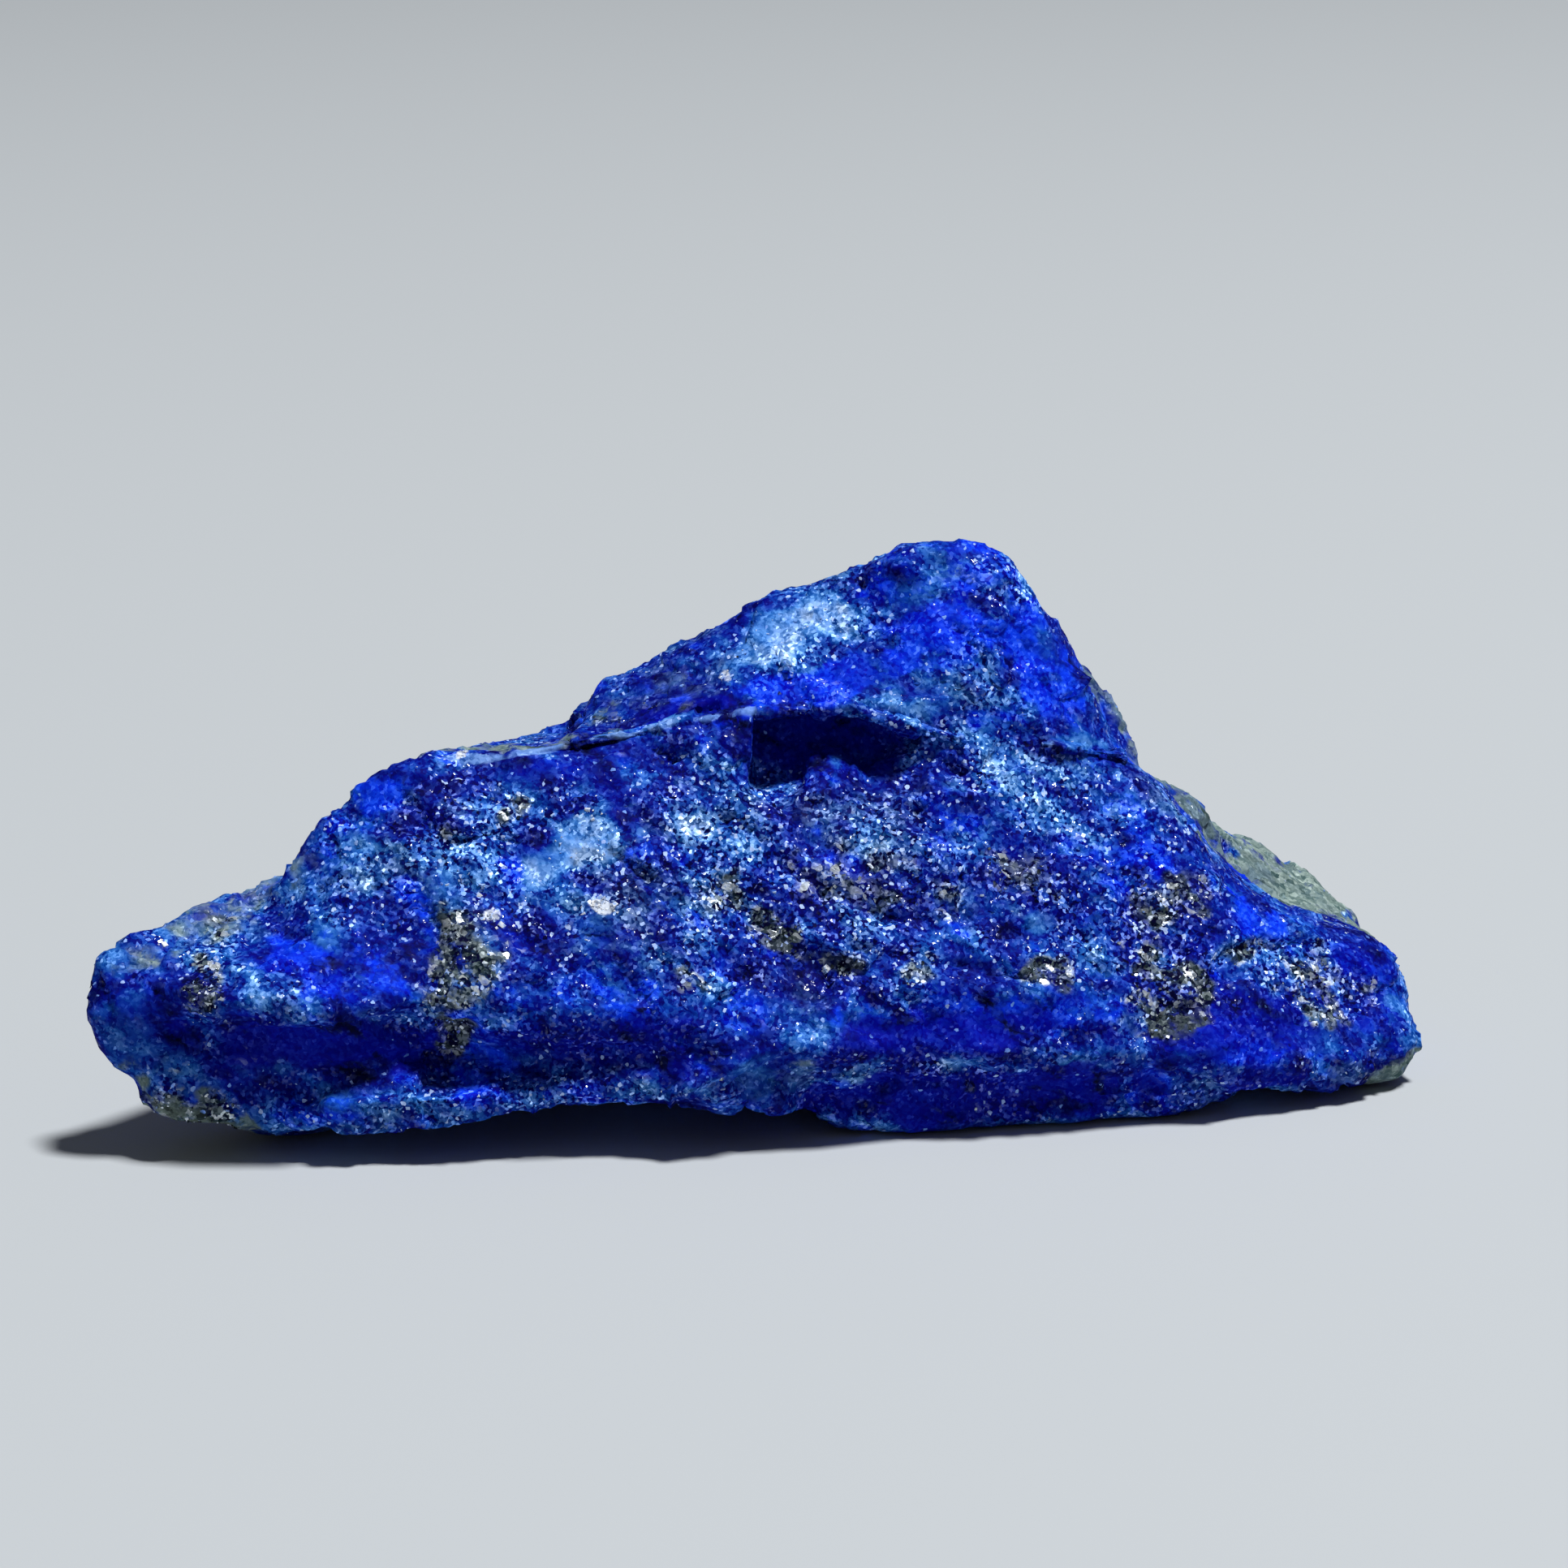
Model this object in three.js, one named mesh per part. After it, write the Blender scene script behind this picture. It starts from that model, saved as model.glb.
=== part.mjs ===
// A rough lapis lazuli specimen, 40 mm long: one natural stone, resting on its underside.
//
// The stone is described as fracture blocks, each the convex hull of a few corners, which run
// together into one mass. Shallow scoops and a notch are taken out of it, foliation and hackly
// fracture roughen its faces, and its underside is flat where it touches the table.
// Millimetres: +X along the length, -Y towards the blue face, +Z up, with z = 0 at the table.
import * as THREE from "three";
import { ConvexGeometry } from "three/addons/geometries/ConvexGeometry.js";
import { ImprovedNoise } from "three/addons/math/ImprovedNoise.js";

// ---------- driving dimensions ----------
const CELL = 0.78; // spacing of the sampling grid, so the size of one facet
const GRID_MARGIN = 2 * CELL; // empty grid around the stone
const WELD = 0.3; // how softly one block runs into the next
const TABLE = 0; // height of the surface that the stone rests on

// Each block lists the corners of one fracture-bounded mass, as [x, y, z].
const BLOCKS = {
  // the broad blue front, from the crest down to the brow
  mainSlab: [
    [-9.9, -5.5, 10.9], [-8.8, -5.4, 10.9], [-5.5, -5.0, 11.3], [-2.2, -4.8, 11.6],
    [0.1, -4.5, 11.8], [3.4, -4.1, 11.7], [5.3, -4.2, 11.4], [7.6, -3.6, 11.0],
    [11.1, -2.1, 10.0], [12.0, -2.4, 9.2], [12.8, -2.9, 8.3], [13.9, -3.3, 7.1],
    [14.7, -3.8, 5.5], [-11.2, -5.7, 10.0], [-12.3, -6.0, 9.0], [-13.4, -6.1, 7.5],
    [-12.8, -9.3, 5.3], [-8.3, -10.4, 4.7], [-5.2, -9.8, 3.0], [2.4, -9.0, 2.7],
    [8.7, -8.0, 2.2], [13.5, -7.1, 1.7], [15.9, -6.0, 1.4], [-11.0, -7.4, 1.8],
    [0.6, -6.6, 1.4], [-7.4, -1.0, 10.3], [-6.0, -0.6, 10.2], [6.0, 1.0, 9.6],
    [10.6, 1.0, 8.4], [-9.0, 1.0, 4.0], [9.0, 3.0, 3.0],
  ],
  // the foot under the right half of the front
  foot: [
    [1.0, -8.6, 2.6], [13.0, -6.8, 1.8], [0.9, -8.4, 1.0], [2.4, -8.1, 0.3],
    [3.6, -7.8, -0.2], [8.4, -7.6, -0.2], [10.4, -7.2, 0.3], [12.2, -6.9, 0.8],
    [15.9, -5.5, 0.5], [18.7, -3.7, 0.3], [2.6, -4.0, -0.4], [12.0, -3.4, -0.4],
    [8.0, 0.0, -0.4], [4.0, 0.0, 3.0],
  ],
  // the left shoulder of the summit
  shoulder: [
    [-5.5, -1.6, 9.9], [-5.0, -1.0, 11.1], [-4.7, -1.0, 11.8], [-4.0, -1.0, 12.1],
    [-1.8, -1.0, 12.8], [-0.4, -1.0, 13.7], [0.4, -1.0, 14.4], [1.8, -1.2, 14.7],
    [2.9, -2.7, 13.5], [-0.6, -2.5, 12.9], [-3.5, -2.5, 11.9], [-5.4, -3.1, 10.2],
    [0.2, -4.1, 11.4], [3.4, -4.0, 11.6], [-3.6, 1.0, 11.2], [0.6, 1.2, 13.4],
    [3.0, 2.0, 9.0], [-4.0, 2.6, 8.6], [2.0, -2.0, 8.0],
  ],
  // the summit, set a little behind the crest
  summit: [
    [1.0, -1.1, 14.5], [1.9, -1.1, 14.7], [3.2, -1.2, 15.6], [4.9, -1.3, 16.5],
    [6.2, -1.3, 16.6], [7.4, -1.4, 16.2], [7.3, -2.0, 15.7], [7.9, -1.0, 15.3],
    [8.1, -0.8, 14.2], [8.7, -0.3, 12.9], [9.6, 0.0, 12.1], [10.6, 0.2, 11.3],
    [11.1, 0.2, 10.2], [11.4, 0.0, 9.5], [8.6, -2.3, 12.9], [10.0, -2.5, 11.5],
    [10.9, -2.0, 10.0], [2.4, -4.2, 11.4], [5.5, -4.3, 11.3], [7.8, -3.6, 11.0],
    [6.0, -2.8, 14.2], [2.9, -2.8, 13.5], [2.0, 0.8, 14.2], [5.6, 0.9, 15.5],
    [7.4, 1.2, 13.8], [9.4, 2.4, 10.6], [3.0, 3.6, 9.0], [10.2, 3.0, 8.2],
    [5.0, 0.0, 6.0],
  ],
  // the low left end, with its ridge and its worn tip
  toe: [
    [-19.0, -9.0, 4.2], [-19.1, -8.9, 4.9], [-18.7, -8.6, 5.5], [-17.7, -7.6, 6.0],
    [-16.4, -6.6, 6.5], [-15.4, -5.6, 7.0], [-13.7, -4.4, 7.0], [-17.0, -10.0, 5.2],
    [-14.9, -10.8, 5.4], [-13.3, -11.1, 5.1], [-11.2, -10.9, 4.9], [-8.3, -10.5, 4.8],
    [-18.7, -9.2, 3.5], [-18.2, -9.3, 2.7], [-17.2, -9.3, 1.5], [-16.3, -9.2, 0.9],
    [-15.2, -8.8, 0.3], [-14.4, -8.4, -0.3], [-13.3, -8.4, -0.3], [-12.4, -8.6, 0.5],
    [-14.0, -6.0, -0.3], [-11.4, -5.4, -0.2], [-16.2, -5.8, 2.6], [-12.6, -1.6, 3.8],
    [-8.0, -6.0, 1.4], [-8.0, -5.0, 7.4], [-8.0, -1.0, 4.0],
  ],
  // the thin lip along the foot of the front, left of the middle
  lowerLip: [
    [-12.0, -10.2, 2.3], [-9.7, -10.7, 2.5], [-7.4, -10.6, 2.4], [-3.8, -10.0, 2.5],
    [-0.4, -9.4, 2.4], [-12.7, -9.8, 1.3], [-11.0, -10.3, 1.2], [-8.3, -10.3, 1.1],
    [-4.8, -9.8, 1.7], [-2.4, -9.4, 1.7], [0.8, -8.8, 1.3], [-11.0, -6.0, 1.5],
    [-1.0, -6.0, 1.6], [-6.0, -7.0, 3.4],
  ],
  // the wedge at the right end
  rightEnd: [
    [12.0, -7.4, 2.4], [13.5, -7.1, 1.8], [15.9, -6.0, 1.5], [18.2, -4.7, 1.2],
    [19.6, -3.4, 1.3], [14.5, -6.2, 0.7], [16.9, -5.0, 0.4], [18.7, -3.7, 0.2],
    [19.5, -2.8, -0.2], [19.9, -2.8, 0.8], [19.9, -2.6, 1.7], [19.5, -2.6, 2.2],
    [19.0, -2.4, 2.8], [19.2, -1.8, 3.5], [18.7, -1.6, 4.1], [16.1, -3.2, 5.0],
    [14.5, -3.6, 5.5], [13.0, 1.0, 6.0], [18.9, 2.4, 2.8], [19.2, 1.8, -0.3],
    [17.0, 3.0, -0.3], [10.6, -5.0, 0.2], [11.0, 2.0, 0.4],
  ],
  // the heart of the stone, which fills the seams between the blocks
  core: [
    [-11.4, -8.4, 4.2], [-10.0, -6.2, 9.0], [-8.0, -1.8, 8.6], [-4.0, -1.2, 10.4],
    [5.6, -1.8, 15.0], [6.6, -0.4, 14.6], [9.6, -1.6, 10.8], [12.0, -3.0, 7.0],
    [14.0, -5.4, 2.4], [17.6, -3.0, 2.4], [17.6, 2.0, 2.2], [15.0, 4.0, 3.4],
    [13.4, 1.0, 6.0], [10.6, 5.6, 3.6], [3.6, 6.2, 4.4], [-4.8, 4.2, 3.6],
    [-10.6, -0.6, 3.4], [11.0, 5.6, -0.2], [3.6, 6.0, -0.2], [5.0, -6.4, -0.2],
    [16.6, 1.0, -0.2], [2.4, -7.6, 3.4], [-6.0, -8.8, 4.2],
  ],
  // two humps of grey-green matrix on the right of the back
  upperMatrix: [
    [10.8, -0.6, 9.4], [12.3, 0.5, 8.6], [13.4, 2.0, 7.8], [14.3, 3.0, 6.6],
    [11.4, 4.6, 7.0], [14.6, 4.8, 4.2], [9.0, 1.6, 8.6], [10.0, 6.4, 3.0],
    [9.0, -1.0, 4.0], [13.8, -1.6, 5.2], [12.0, 0.0, 1.0],
  ],
  lowerMatrix: [
    [13.8, 2.6, 6.5], [14.9, 4.5, 5.9], [15.9, 5.2, 5.4], [17.1, 5.7, 4.6],
    [17.9, 5.6, 4.0], [18.6, 5.0, 3.4], [19.2, 3.4, 2.8], [18.5, 5.8, 0.8],
    [18.2, 5.2, -0.3], [12.0, 7.6, -0.3], [11.6, 7.4, 3.6], [10.0, 2.0, 3.0],
    [18.9, 1.0, 0.4], [12.0, 0.0, 0.0],
  ],
  // the back, from the summit ridge down to a bench
  backWall: [
    [-8.8, -1.0, 9.8], [-6.2, 0.6, 9.7], [-4.2, 0.8, 10.9], [0.6, 1.2, 13.2],
    [3.4, 1.0, 14.7], [6.2, 0.9, 15.2], [8.0, 1.4, 13.0], [10.2, 2.0, 9.4],
    [-8.6, 2.2, 6.0], [-2.4, 4.4, 7.2], [4.4, 5.4, 7.8], [9.8, 5.0, 6.4],
    [-7.6, 3.8, 2.6], [-1.6, 6.4, 2.4], [4.6, 8.2, 1.8], [10.8, 8.0, 1.6],
    [-9.0, -3.0, 2.0], [9.0, 0.0, 1.0], [0.0, -3.0, 1.6], [11.0, -1.0, 4.0],
    [-10.6, -4.4, 8.6],
  ],
  // the broad low foot of the back
  backFoot: [
    [-12.8, -3.2, 4.7], [-11.2, 0.6, 4.4], [-7.8, 4.2, 5.7], [-2.0, 7.0, 4.6],
    [3.0, 8.2, 2.2], [12.2, 8.1, 1.4], [-11.8, -3.0, 0.7], [-9.6, 1.4, 0.2],
    [-4.6, 5.4, -0.3], [3.8, 7.9, -0.3], [12.2, 7.8, -0.3], [-9.0, -6.0, 1.3],
    [10.0, -3.0, -0.3], [2.0, -4.6, -0.2], [-8.0, -4.0, 6.0], [11.0, -2.0, 5.0],
  ],
};

// Blocks that are broken out of the mass.
const CUTS = {
  // the square-sided notch under the lip of the crest
  notch: [
    [0.0, -8.6, 11.4], [3.5, -8.6, 11.4], [5.8, -8.6, 10.9], [0.0, -8.6, 8.9],
    [2.2, -8.6, 8.6], [4.4, -8.6, 9.2], [0.1, -3.2, 11.2], [3.4, -3.0, 11.2],
    [5.4, -3.9, 10.8], [0.1, -4.2, 9.5], [2.2, -4.4, 9.3], [4.2, -4.2, 9.7],
  ],};

// Conchoidal scoops, each an ellipsoid [centre, radii], that dish a face without an edge.
const SCOOPS = {
  underToeRidge: [[-13.0, -13.0, 2.9], [6.0, 3.3, 1.5]],
  aboveLip: [[-6.6, -12.6, 3.0], [4.0, 3.2, 0.9]],
  underLip: [[-6.0, -7.4, -0.9], [5.4, 4.4, 2.1]],
  underRight: [[14.7, -5.6, -0.9], [3.2, 3.0, 1.4]],
  frontMiddle: [[2.5, -13.6, 9.4], [9.0, 8.0, 3.0]],
  summitLeft: [[0.0, -6.2, 15.4], [4.4, 4.4, 2.2]],
  backLeft: [[-6.0, 7.6, 8.2], [4.4, 3.6, 3.0]],
  backMiddle: [[3.4, 9.6, 7.4], [5.0, 3.6, 3.0]],
  backRight: [[10.4, 9.6, 5.4], [3.2, 3.0, 2.2]],
};

// Ridges and furrows of the layers, each along a line [from, to, half-width, height].
const STREAKS = {
  frontFurrow: [[-1.6, -6.8, 8.2], [3.2, -8.0, 4.7], 0.9, -0.4],
  frontRidge: [[-0.2, -6.9, 8.0], [4.4, -7.9, 4.9], 0.7, 0.3],
  besideRidge: [[1.0, -6.8, 7.8], [4.6, -7.2, 5.9], 0.5, -0.35],
  rightFurrow: [[3.6, -6.9, 6.9], [8.6, -6.6, 5.2], 0.5, -0.3],
  rightRidge: [[3.4, -7.8, 5.0], [9.4, -7.0, 3.9], 0.6, 0.25],
  cornerFurrow: [[10.9, -5.0, 6.8], [12.2, -6.8, 3.0], 0.9, -0.4],
  leftHollow: [[-9.5, -9.2, 6.2], [-8.6, -10.0, 3.6], 1.0, -0.5],
  browRidge: [[-4.4, -9.3, 4.8], [0.0, -9.1, 3.1], 0.6, 0.35],
  fin: [[-2.6, -9.6, 1.9], [0.8, -9.0, 3.0], 0.5, 0.45],
  bandFurrow: [[2.0, -8.6, 2.2], [13.0, -7.0, 1.5], 0.5, -0.3],
  toeStreak: [[-18.2, -9.6, 3.4], [-12.4, -10.0, 1.7], 0.6, 0.3],
};

// Relief over every face.
const SWELL = { height: 0.14, wavelength: 5.2 };
const HACKLE = { height: 0.17, wavelength: 2.1 };
const FOLIATION = { height: 0.2, across: 1.5, along: 6.5 }; // streaks that dip to the right
const DIP = new THREE.Vector3(0.52, 0.1, 0.85).normalize(); // normal of the streaks

// ---------- the field: negative inside the stone ----------
const noise = new ImprovedNoise();

/** The planes that bound the convex hull of some corners. */
function hullPlanes(corners) {
  const hull = new ConvexGeometry(corners.map((corner) => new THREE.Vector3(...corner)));
  const places = hull.getAttribute("position");
  const triangle = new THREE.Triangle();
  const planes = [];
  for (let i = 0; i < places.count; i += 3) {
    triangle.setFromAttributeAndIndices(places, i, i + 1, i + 2);
    const plane = triangle.getPlane(new THREE.Plane());
    if (!planes.some((other) => samePlane(other, plane))) planes.push(plane);
  }
  return planes;
}

function samePlane(a, b) {
  return a.normal.dot(b.normal) > 0.9999 && Math.abs(a.constant - b.constant) < 1e-3;
}

function hullDistance(planes, point) {
  return Math.max(...planes.map((plane) => plane.distanceToPoint(point)));
}

/** The smaller of two distances, rounded off where they are within a radius of each other. */
function softMin(a, b, radius) {
  const near = Math.max(radius - Math.abs(a - b), 0) / radius;
  return Math.min(a, b) - (near * near * radius) / 4;
}

function softMax(a, b, radius) {
  return -softMin(-a, -b, radius);
}

/** Smooth noise of about -1 to 1, with one swing in each wavelength. */
function swing(point, wavelength, seed) {
  const { x, y, z } = point.clone().divideScalar(wavelength);
  return noise.noise(x + seed, y - seed, z + 2 * seed);
}

/** Long, low ridges where the layers of the rock crop out. */
function foliation(point) {
  const depth = point.dot(DIP);
  const { x, y, z } = point.clone().addScaledVector(DIP, -depth).divideScalar(FOLIATION.along);
  return noise.noise(x + 7, y + depth / FOLIATION.across, z + 3);
}

function streakHeight({ line, halfWidth, height }, point) {
  const nearest = line.closestPointToPoint(point, true, new THREE.Vector3());
  return height * Math.exp(-((nearest.distanceTo(point) / halfWidth) ** 2));
}

/** How far the surface stands out at a point. */
function relief(point) {
  const layers = streaks.reduce((sum, streak) => sum + streakHeight(streak, point), 0);
  const broad = SWELL.height * swing(point, SWELL.wavelength, 1.7);
  const fine = HACKLE.height * swing(point, HACKLE.wavelength, 5.3);
  return layers + broad + fine + FOLIATION.height * foliation(point);
}

const blockPlanes = Object.values(BLOCKS).map(hullPlanes);
const cutPlanes = Object.values(CUTS).map(hullPlanes);

const scoops = Object.values(SCOOPS).map(([centre, radii]) => ({
  centre: new THREE.Vector3(...centre),
  radii: new THREE.Vector3(...radii),
}));

const streaks = Object.values(STREAKS).map(([from, to, halfWidth, height]) => ({
  line: new THREE.Line3(new THREE.Vector3(...from), new THREE.Vector3(...to)),
  halfWidth,
  height,
}));

function scoopDistance({ centre, radii }, point) {
  const beyond = point.clone().sub(centre).divide(radii).length() - 1;
  return beyond * Math.min(radii.x, radii.y, radii.z);
}

function stoneField(point) {
  let distance = Infinity;
  for (const planes of blockPlanes) {
    distance = softMin(distance, hullDistance(planes, point), WELD);
  }
  for (const scoop of scoops) {
    distance = softMax(distance, -scoopDistance(scoop, point), 2 * WELD);
  }
  distance -= relief(point);
  for (const planes of cutPlanes) {
    distance = Math.max(distance, -hullDistance(planes, point));
  }
  return Math.max(distance, TABLE - point.z);
}

// ---------- meshing: surface nets over a regular grid ----------
const AXES = [new THREE.Vector3(1, 0, 0), new THREE.Vector3(0, 1, 0), new THREE.Vector3(0, 0, 1)];

/** The field at every point of a grid that fills a box. */
function sampleField(field, box, cell) {
  const [nx, ny, nz] = box.getSize(new THREE.Vector3()).divideScalar(cell).ceil().addScalar(1);
  const at = ({ x, y, z }) => x + nx * (y + ny * z);
  const place = (node) => node.clone().multiplyScalar(cell).add(box.min);
  const nodes = [];
  for (let z = 0; z < nz; z++) {
    for (let y = 0; y < ny; y++) {
      for (let x = 0; x < nx; x++) nodes.push(new THREE.Vector3(x, y, z));
    }
  }
  const values = nodes.map((node) => field(place(node)));
  return { nodes, values, at, place, valueAt: (node) => values[at(node)] };
}

/** The twelve edges of a unit cell, as pairs of corners. */
function cellEdges() {
  const edges = [];
  for (const along of AXES) {
    const [u, w] = AXES.filter((axis) => axis !== along);
    for (const start of [new THREE.Vector3(), u.clone(), w.clone(), u.clone().add(w)]) {
      edges.push([start, start.clone().add(along)]);
    }
  }
  return edges;
}

/** Moves a point onto the surface where the field is zero, by no more than a limit. */
function settle(field, start, limit) {
  const step = 0.05;
  const point = start.clone();
  for (let pass = 0; pass < 3; pass++) {
    const here = field(point);
    const rise = AXES.map((axis) => field(point.clone().addScaledVector(axis, step)) - here);
    const slope = new THREE.Vector3(...rise).divideScalar(step);
    point.addScaledVector(slope, -here / Math.max(slope.lengthSq(), 0.25));
  }
  const moved = point.sub(start).clampLength(0, limit).add(start);
  return moved.setZ(Math.max(moved.z, TABLE));
}

/** One closed, even mesh of the surface where the field is zero. */
function surfaceNet(field, box, cell) {
  const grid = sampleField(field, box, cell);
  const edges = cellEdges();
  const positions = [];
  const vertexOf = new Map();

  // one vertex in each cell that the surface crosses, near the mean of its crossings
  for (const node of grid.nodes) {
    const crossings = [];
    for (const [start, end] of edges) {
      const [a, b] = [node.clone().add(start), node.clone().add(end)];
      const [va, vb] = [grid.valueAt(a), grid.valueAt(b)];
      if (va < 0 !== vb < 0) crossings.push(grid.place(a.lerp(b, va / (va - vb))));
    }
    if (!crossings.length) continue;
    const sum = crossings.reduce((total, crossing) => total.add(crossing), new THREE.Vector3());
    vertexOf.set(grid.at(node), positions.length / 3);
    positions.push(...settle(field, sum.divideScalar(crossings.length), cell / 2));
  }

  // two triangles across each grid edge that the surface crosses
  const index = [];
  for (const node of grid.nodes) {
    AXES.forEach((axis, i) => {
      const inside = grid.valueAt(node) < 0;
      const far = grid.valueAt(node.clone().add(axis));
      if (far === undefined || inside === far < 0) return;
      const [u, w] = [AXES[(i + 1) % 3], AXES[(i + 2) % 3]];
      const back = [[0, 0], [1, 0], [1, 1], [0, 1]];
      const ring = back.map(([s, t]) => node.clone().addScaledVector(u, -s).addScaledVector(w, -t));
      const [a, b, c, d] = ring.map((cellNode) => vertexOf.get(grid.at(cellNode)));
      index.push(...(inside ? [a, b, c, a, c, d] : [a, c, b, a, d, c]));
    });
  }
  return new THREE.BufferGeometry()
    .setAttribute("position", new THREE.BufferAttribute(new Float32Array(positions), 3))
    .setIndex(index);
}

// ---------- the part ----------
function makeStone() {
  const corners = Object.values(BLOCKS).flat();
  const box = new THREE.Box3().setFromPoints(corners.map((corner) => new THREE.Vector3(...corner)));
  box.expandByScalar(GRID_MARGIN);
  box.min.z = TABLE - 1.5 * CELL; // puts the table halfway between two layers of the grid
  const geometry = surfaceNet(stoneField, box, CELL);

  // the middle of the stone goes over the origin
  geometry.computeBoundingBox();
  const middle = geometry.boundingBox.getCenter(new THREE.Vector3());
  geometry.translate(-middle.x, -middle.y, 0);

  const material = new THREE.MeshStandardMaterial({ color: "#1d3aa8", roughness: 0.62, metalness: 0 });
  const stone = new THREE.Mesh(geometry, material);
  stone.name = "lapis_stone";
  return stone;
}

const specimen = new THREE.Group();
specimen.add(makeStone());
export default specimen;
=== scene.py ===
import random
from math import radians

import bmesh
import bpy
import numpy as np
from mathutils import Matrix, Vector, noise
from mathutils.bvhtree import BVHTree


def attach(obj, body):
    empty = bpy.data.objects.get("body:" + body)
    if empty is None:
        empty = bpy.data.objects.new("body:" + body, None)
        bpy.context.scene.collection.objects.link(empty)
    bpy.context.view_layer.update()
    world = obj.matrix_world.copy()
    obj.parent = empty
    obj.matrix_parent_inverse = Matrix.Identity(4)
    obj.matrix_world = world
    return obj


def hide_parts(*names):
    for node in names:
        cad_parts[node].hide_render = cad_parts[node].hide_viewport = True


# Rough lapis lazuli, 39 mm long. A shape is worked in millimetres and scaled to metres last.
mm = 0.001
perMetre = 1000  # millimetres

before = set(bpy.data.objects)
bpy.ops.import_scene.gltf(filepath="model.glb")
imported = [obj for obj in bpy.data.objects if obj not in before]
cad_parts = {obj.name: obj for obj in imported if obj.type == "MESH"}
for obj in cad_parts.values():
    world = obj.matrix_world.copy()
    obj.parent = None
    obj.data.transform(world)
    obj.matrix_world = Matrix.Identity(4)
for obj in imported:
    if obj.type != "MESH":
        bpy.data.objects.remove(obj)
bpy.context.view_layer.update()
print("frame loaded:", sorted(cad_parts))


def newPiece(name, data):
    piece = bpy.data.objects.new(name, data)
    bpy.context.scene.collection.objects.link(piece)
    return piece


def bakeModifiers(piece):
    # keeps the shape that the modifiers give, and drops them
    graph = bpy.context.evaluated_depsgraph_get()
    piece.data = bpy.data.meshes.new_from_object(piece.evaluated_get(graph))
    piece.modifiers.clear()


def smoothOver(bm, passes):
    for _ in range(passes):
        bmesh.ops.smooth_vert(bm, verts=bm.verts, factor=0.5,
                              use_axis_x=True, use_axis_y=True, use_axis_z=True)


def hullMesh(corners):
    bm = bmesh.new()
    bmesh.ops.convex_hull(bm, input=[bm.verts.new(c) for c in corners])
    bmesh.ops.delete(bm, geom=[v for v in bm.verts if not v.link_faces], context="VERTS")
    bmesh.ops.recalc_face_normals(bm, faces=bm.faces)
    mesh = bpy.data.meshes.new("hull")
    bm.to_mesh(mesh)
    bm.free()
    return mesh


def joinHulls(piece, hulls):
    bm = bmesh.new()
    bm.from_mesh(piece.data)
    for corners in hulls:
        bm.from_mesh(hullMesh(corners))
    bm.to_mesh(piece.data)
    bm.free()


def remeshed(piece, spacing):
    remesh = piece.modifiers.new("grains", "REMESH")
    remesh.mode = "VOXEL"
    remesh.voxel_size = spacing
    remesh.use_smooth_shade = True
    bakeModifiers(piece)


# The stone is the solid's mass, with parts broken out of it and parts that stand proud of it.
# Each of those is a hull, given by its corners.
stone = {
    "weld": 1e-7,  # metres: the solid's facets are joined where they meet
    "facetPasses": 2,  # smoothing over those facets
    "spacing": 0.152,  # between the mesh's points, about a sugary grain of 0.1 to 0.3 mm
    "pointPasses": 2,  # smoothing of the points after the remesh
    "normalPasses": 3,  # and of the directions in which the chips stand
    "breaks": {
        "notch": [(-0.45, -3.7, 11.62), (-0.45, -1.2, 11.7), (3.2, -3.5, 11.62), (3.2, -1.2, 11.8),
                  (4.9, -3.4, 11.3), (4.6, -1.7, 11.3), (-0.35, -4.8, 9.75), (-0.35, -2.4, 9.6),
                  (0.5, -4.8, 9.4), (1.5, -2.2, 9.7), (2.6, -4.2, 9.75), (3.7, -4.2, 9.95),
                  (4.3, -2.4, 10.5)],
        "slabTop": [(-10.2, -3.5, 10.42), (-5.8, -3.5, 10.95), (-10.2, -1.0, 10.5), (-5.8, -0.8, 10.95),
                    (-10.2, 3.0, 9.6), (-5.8, 3.0, 9.95), (-4.7, -3.2, 12.3), (-4.7, 3.0, 12.3),
                    (-5.4, -3.4, 13.0), (-5.4, 3.0, 13.0), (-10.2, -3.5, 12.6), (-10.2, 3.0, 12.6)],
        "behindCrest": [(-5.6, -3.4, 10.95), (-3.5, -3.25, 11.25), (-0.6, -2.85, 11.66),
                        (-5.6, -2.95, 11.0), (-3.5, -2.7, 11.3), (-0.6, -2.3, 11.7),
                        (-5.6, -3.4, 11.4), (-3.5, -3.25, 11.7), (-0.6, -2.85, 12.1),
                        (-3.5, -2.7, 11.6), (-0.6, -2.3, 12.0)],
    },
    "proud": {
        "lipFoot": [(-13.4, -8.3, 1.3), (-11.8, -8.9, 1.0), (-9.4, -9.0, 0.98), (-8.2, -8.7, 1.1),
                    (-6.0, -8.3, 1.45), (-12.4, -9.0, 1.9), (-8.0, -8.9, 2.2), (-12.6, -6.6, 0.9),
                    (-8.0, -6.6, 1.2), (-12.0, -7.0, 2.6), (-6.2, -7.0, 2.4)],
        "notchLump": [(0.9, -4.0, 9.4), (3.0, -3.8, 9.6), (1.2, -3.35, 9.95), (1.9, -3.3, 10.3),
                      (2.6, -3.2, 10.05), (1.2, -2.0, 9.4), (2.8, -2.0, 9.6), (1.6, -2.2, 10.9),
                      (2.3, -2.2, 10.7)],
        "bellyCorner": [(-0.4, -7.7, 1.45), (0.5, -7.4, 1.1), (1.1, -7.1, 0.75), (1.7, -6.8, 0.5),
                        (2.4, -6.7, 0.3), (2.4, -7.0, 2.4), (-0.6, -7.8, 2.6), (0.5, -5.6, 2.4),
                        (2.4, -5.2, 0.5)],
    },
}


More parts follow.
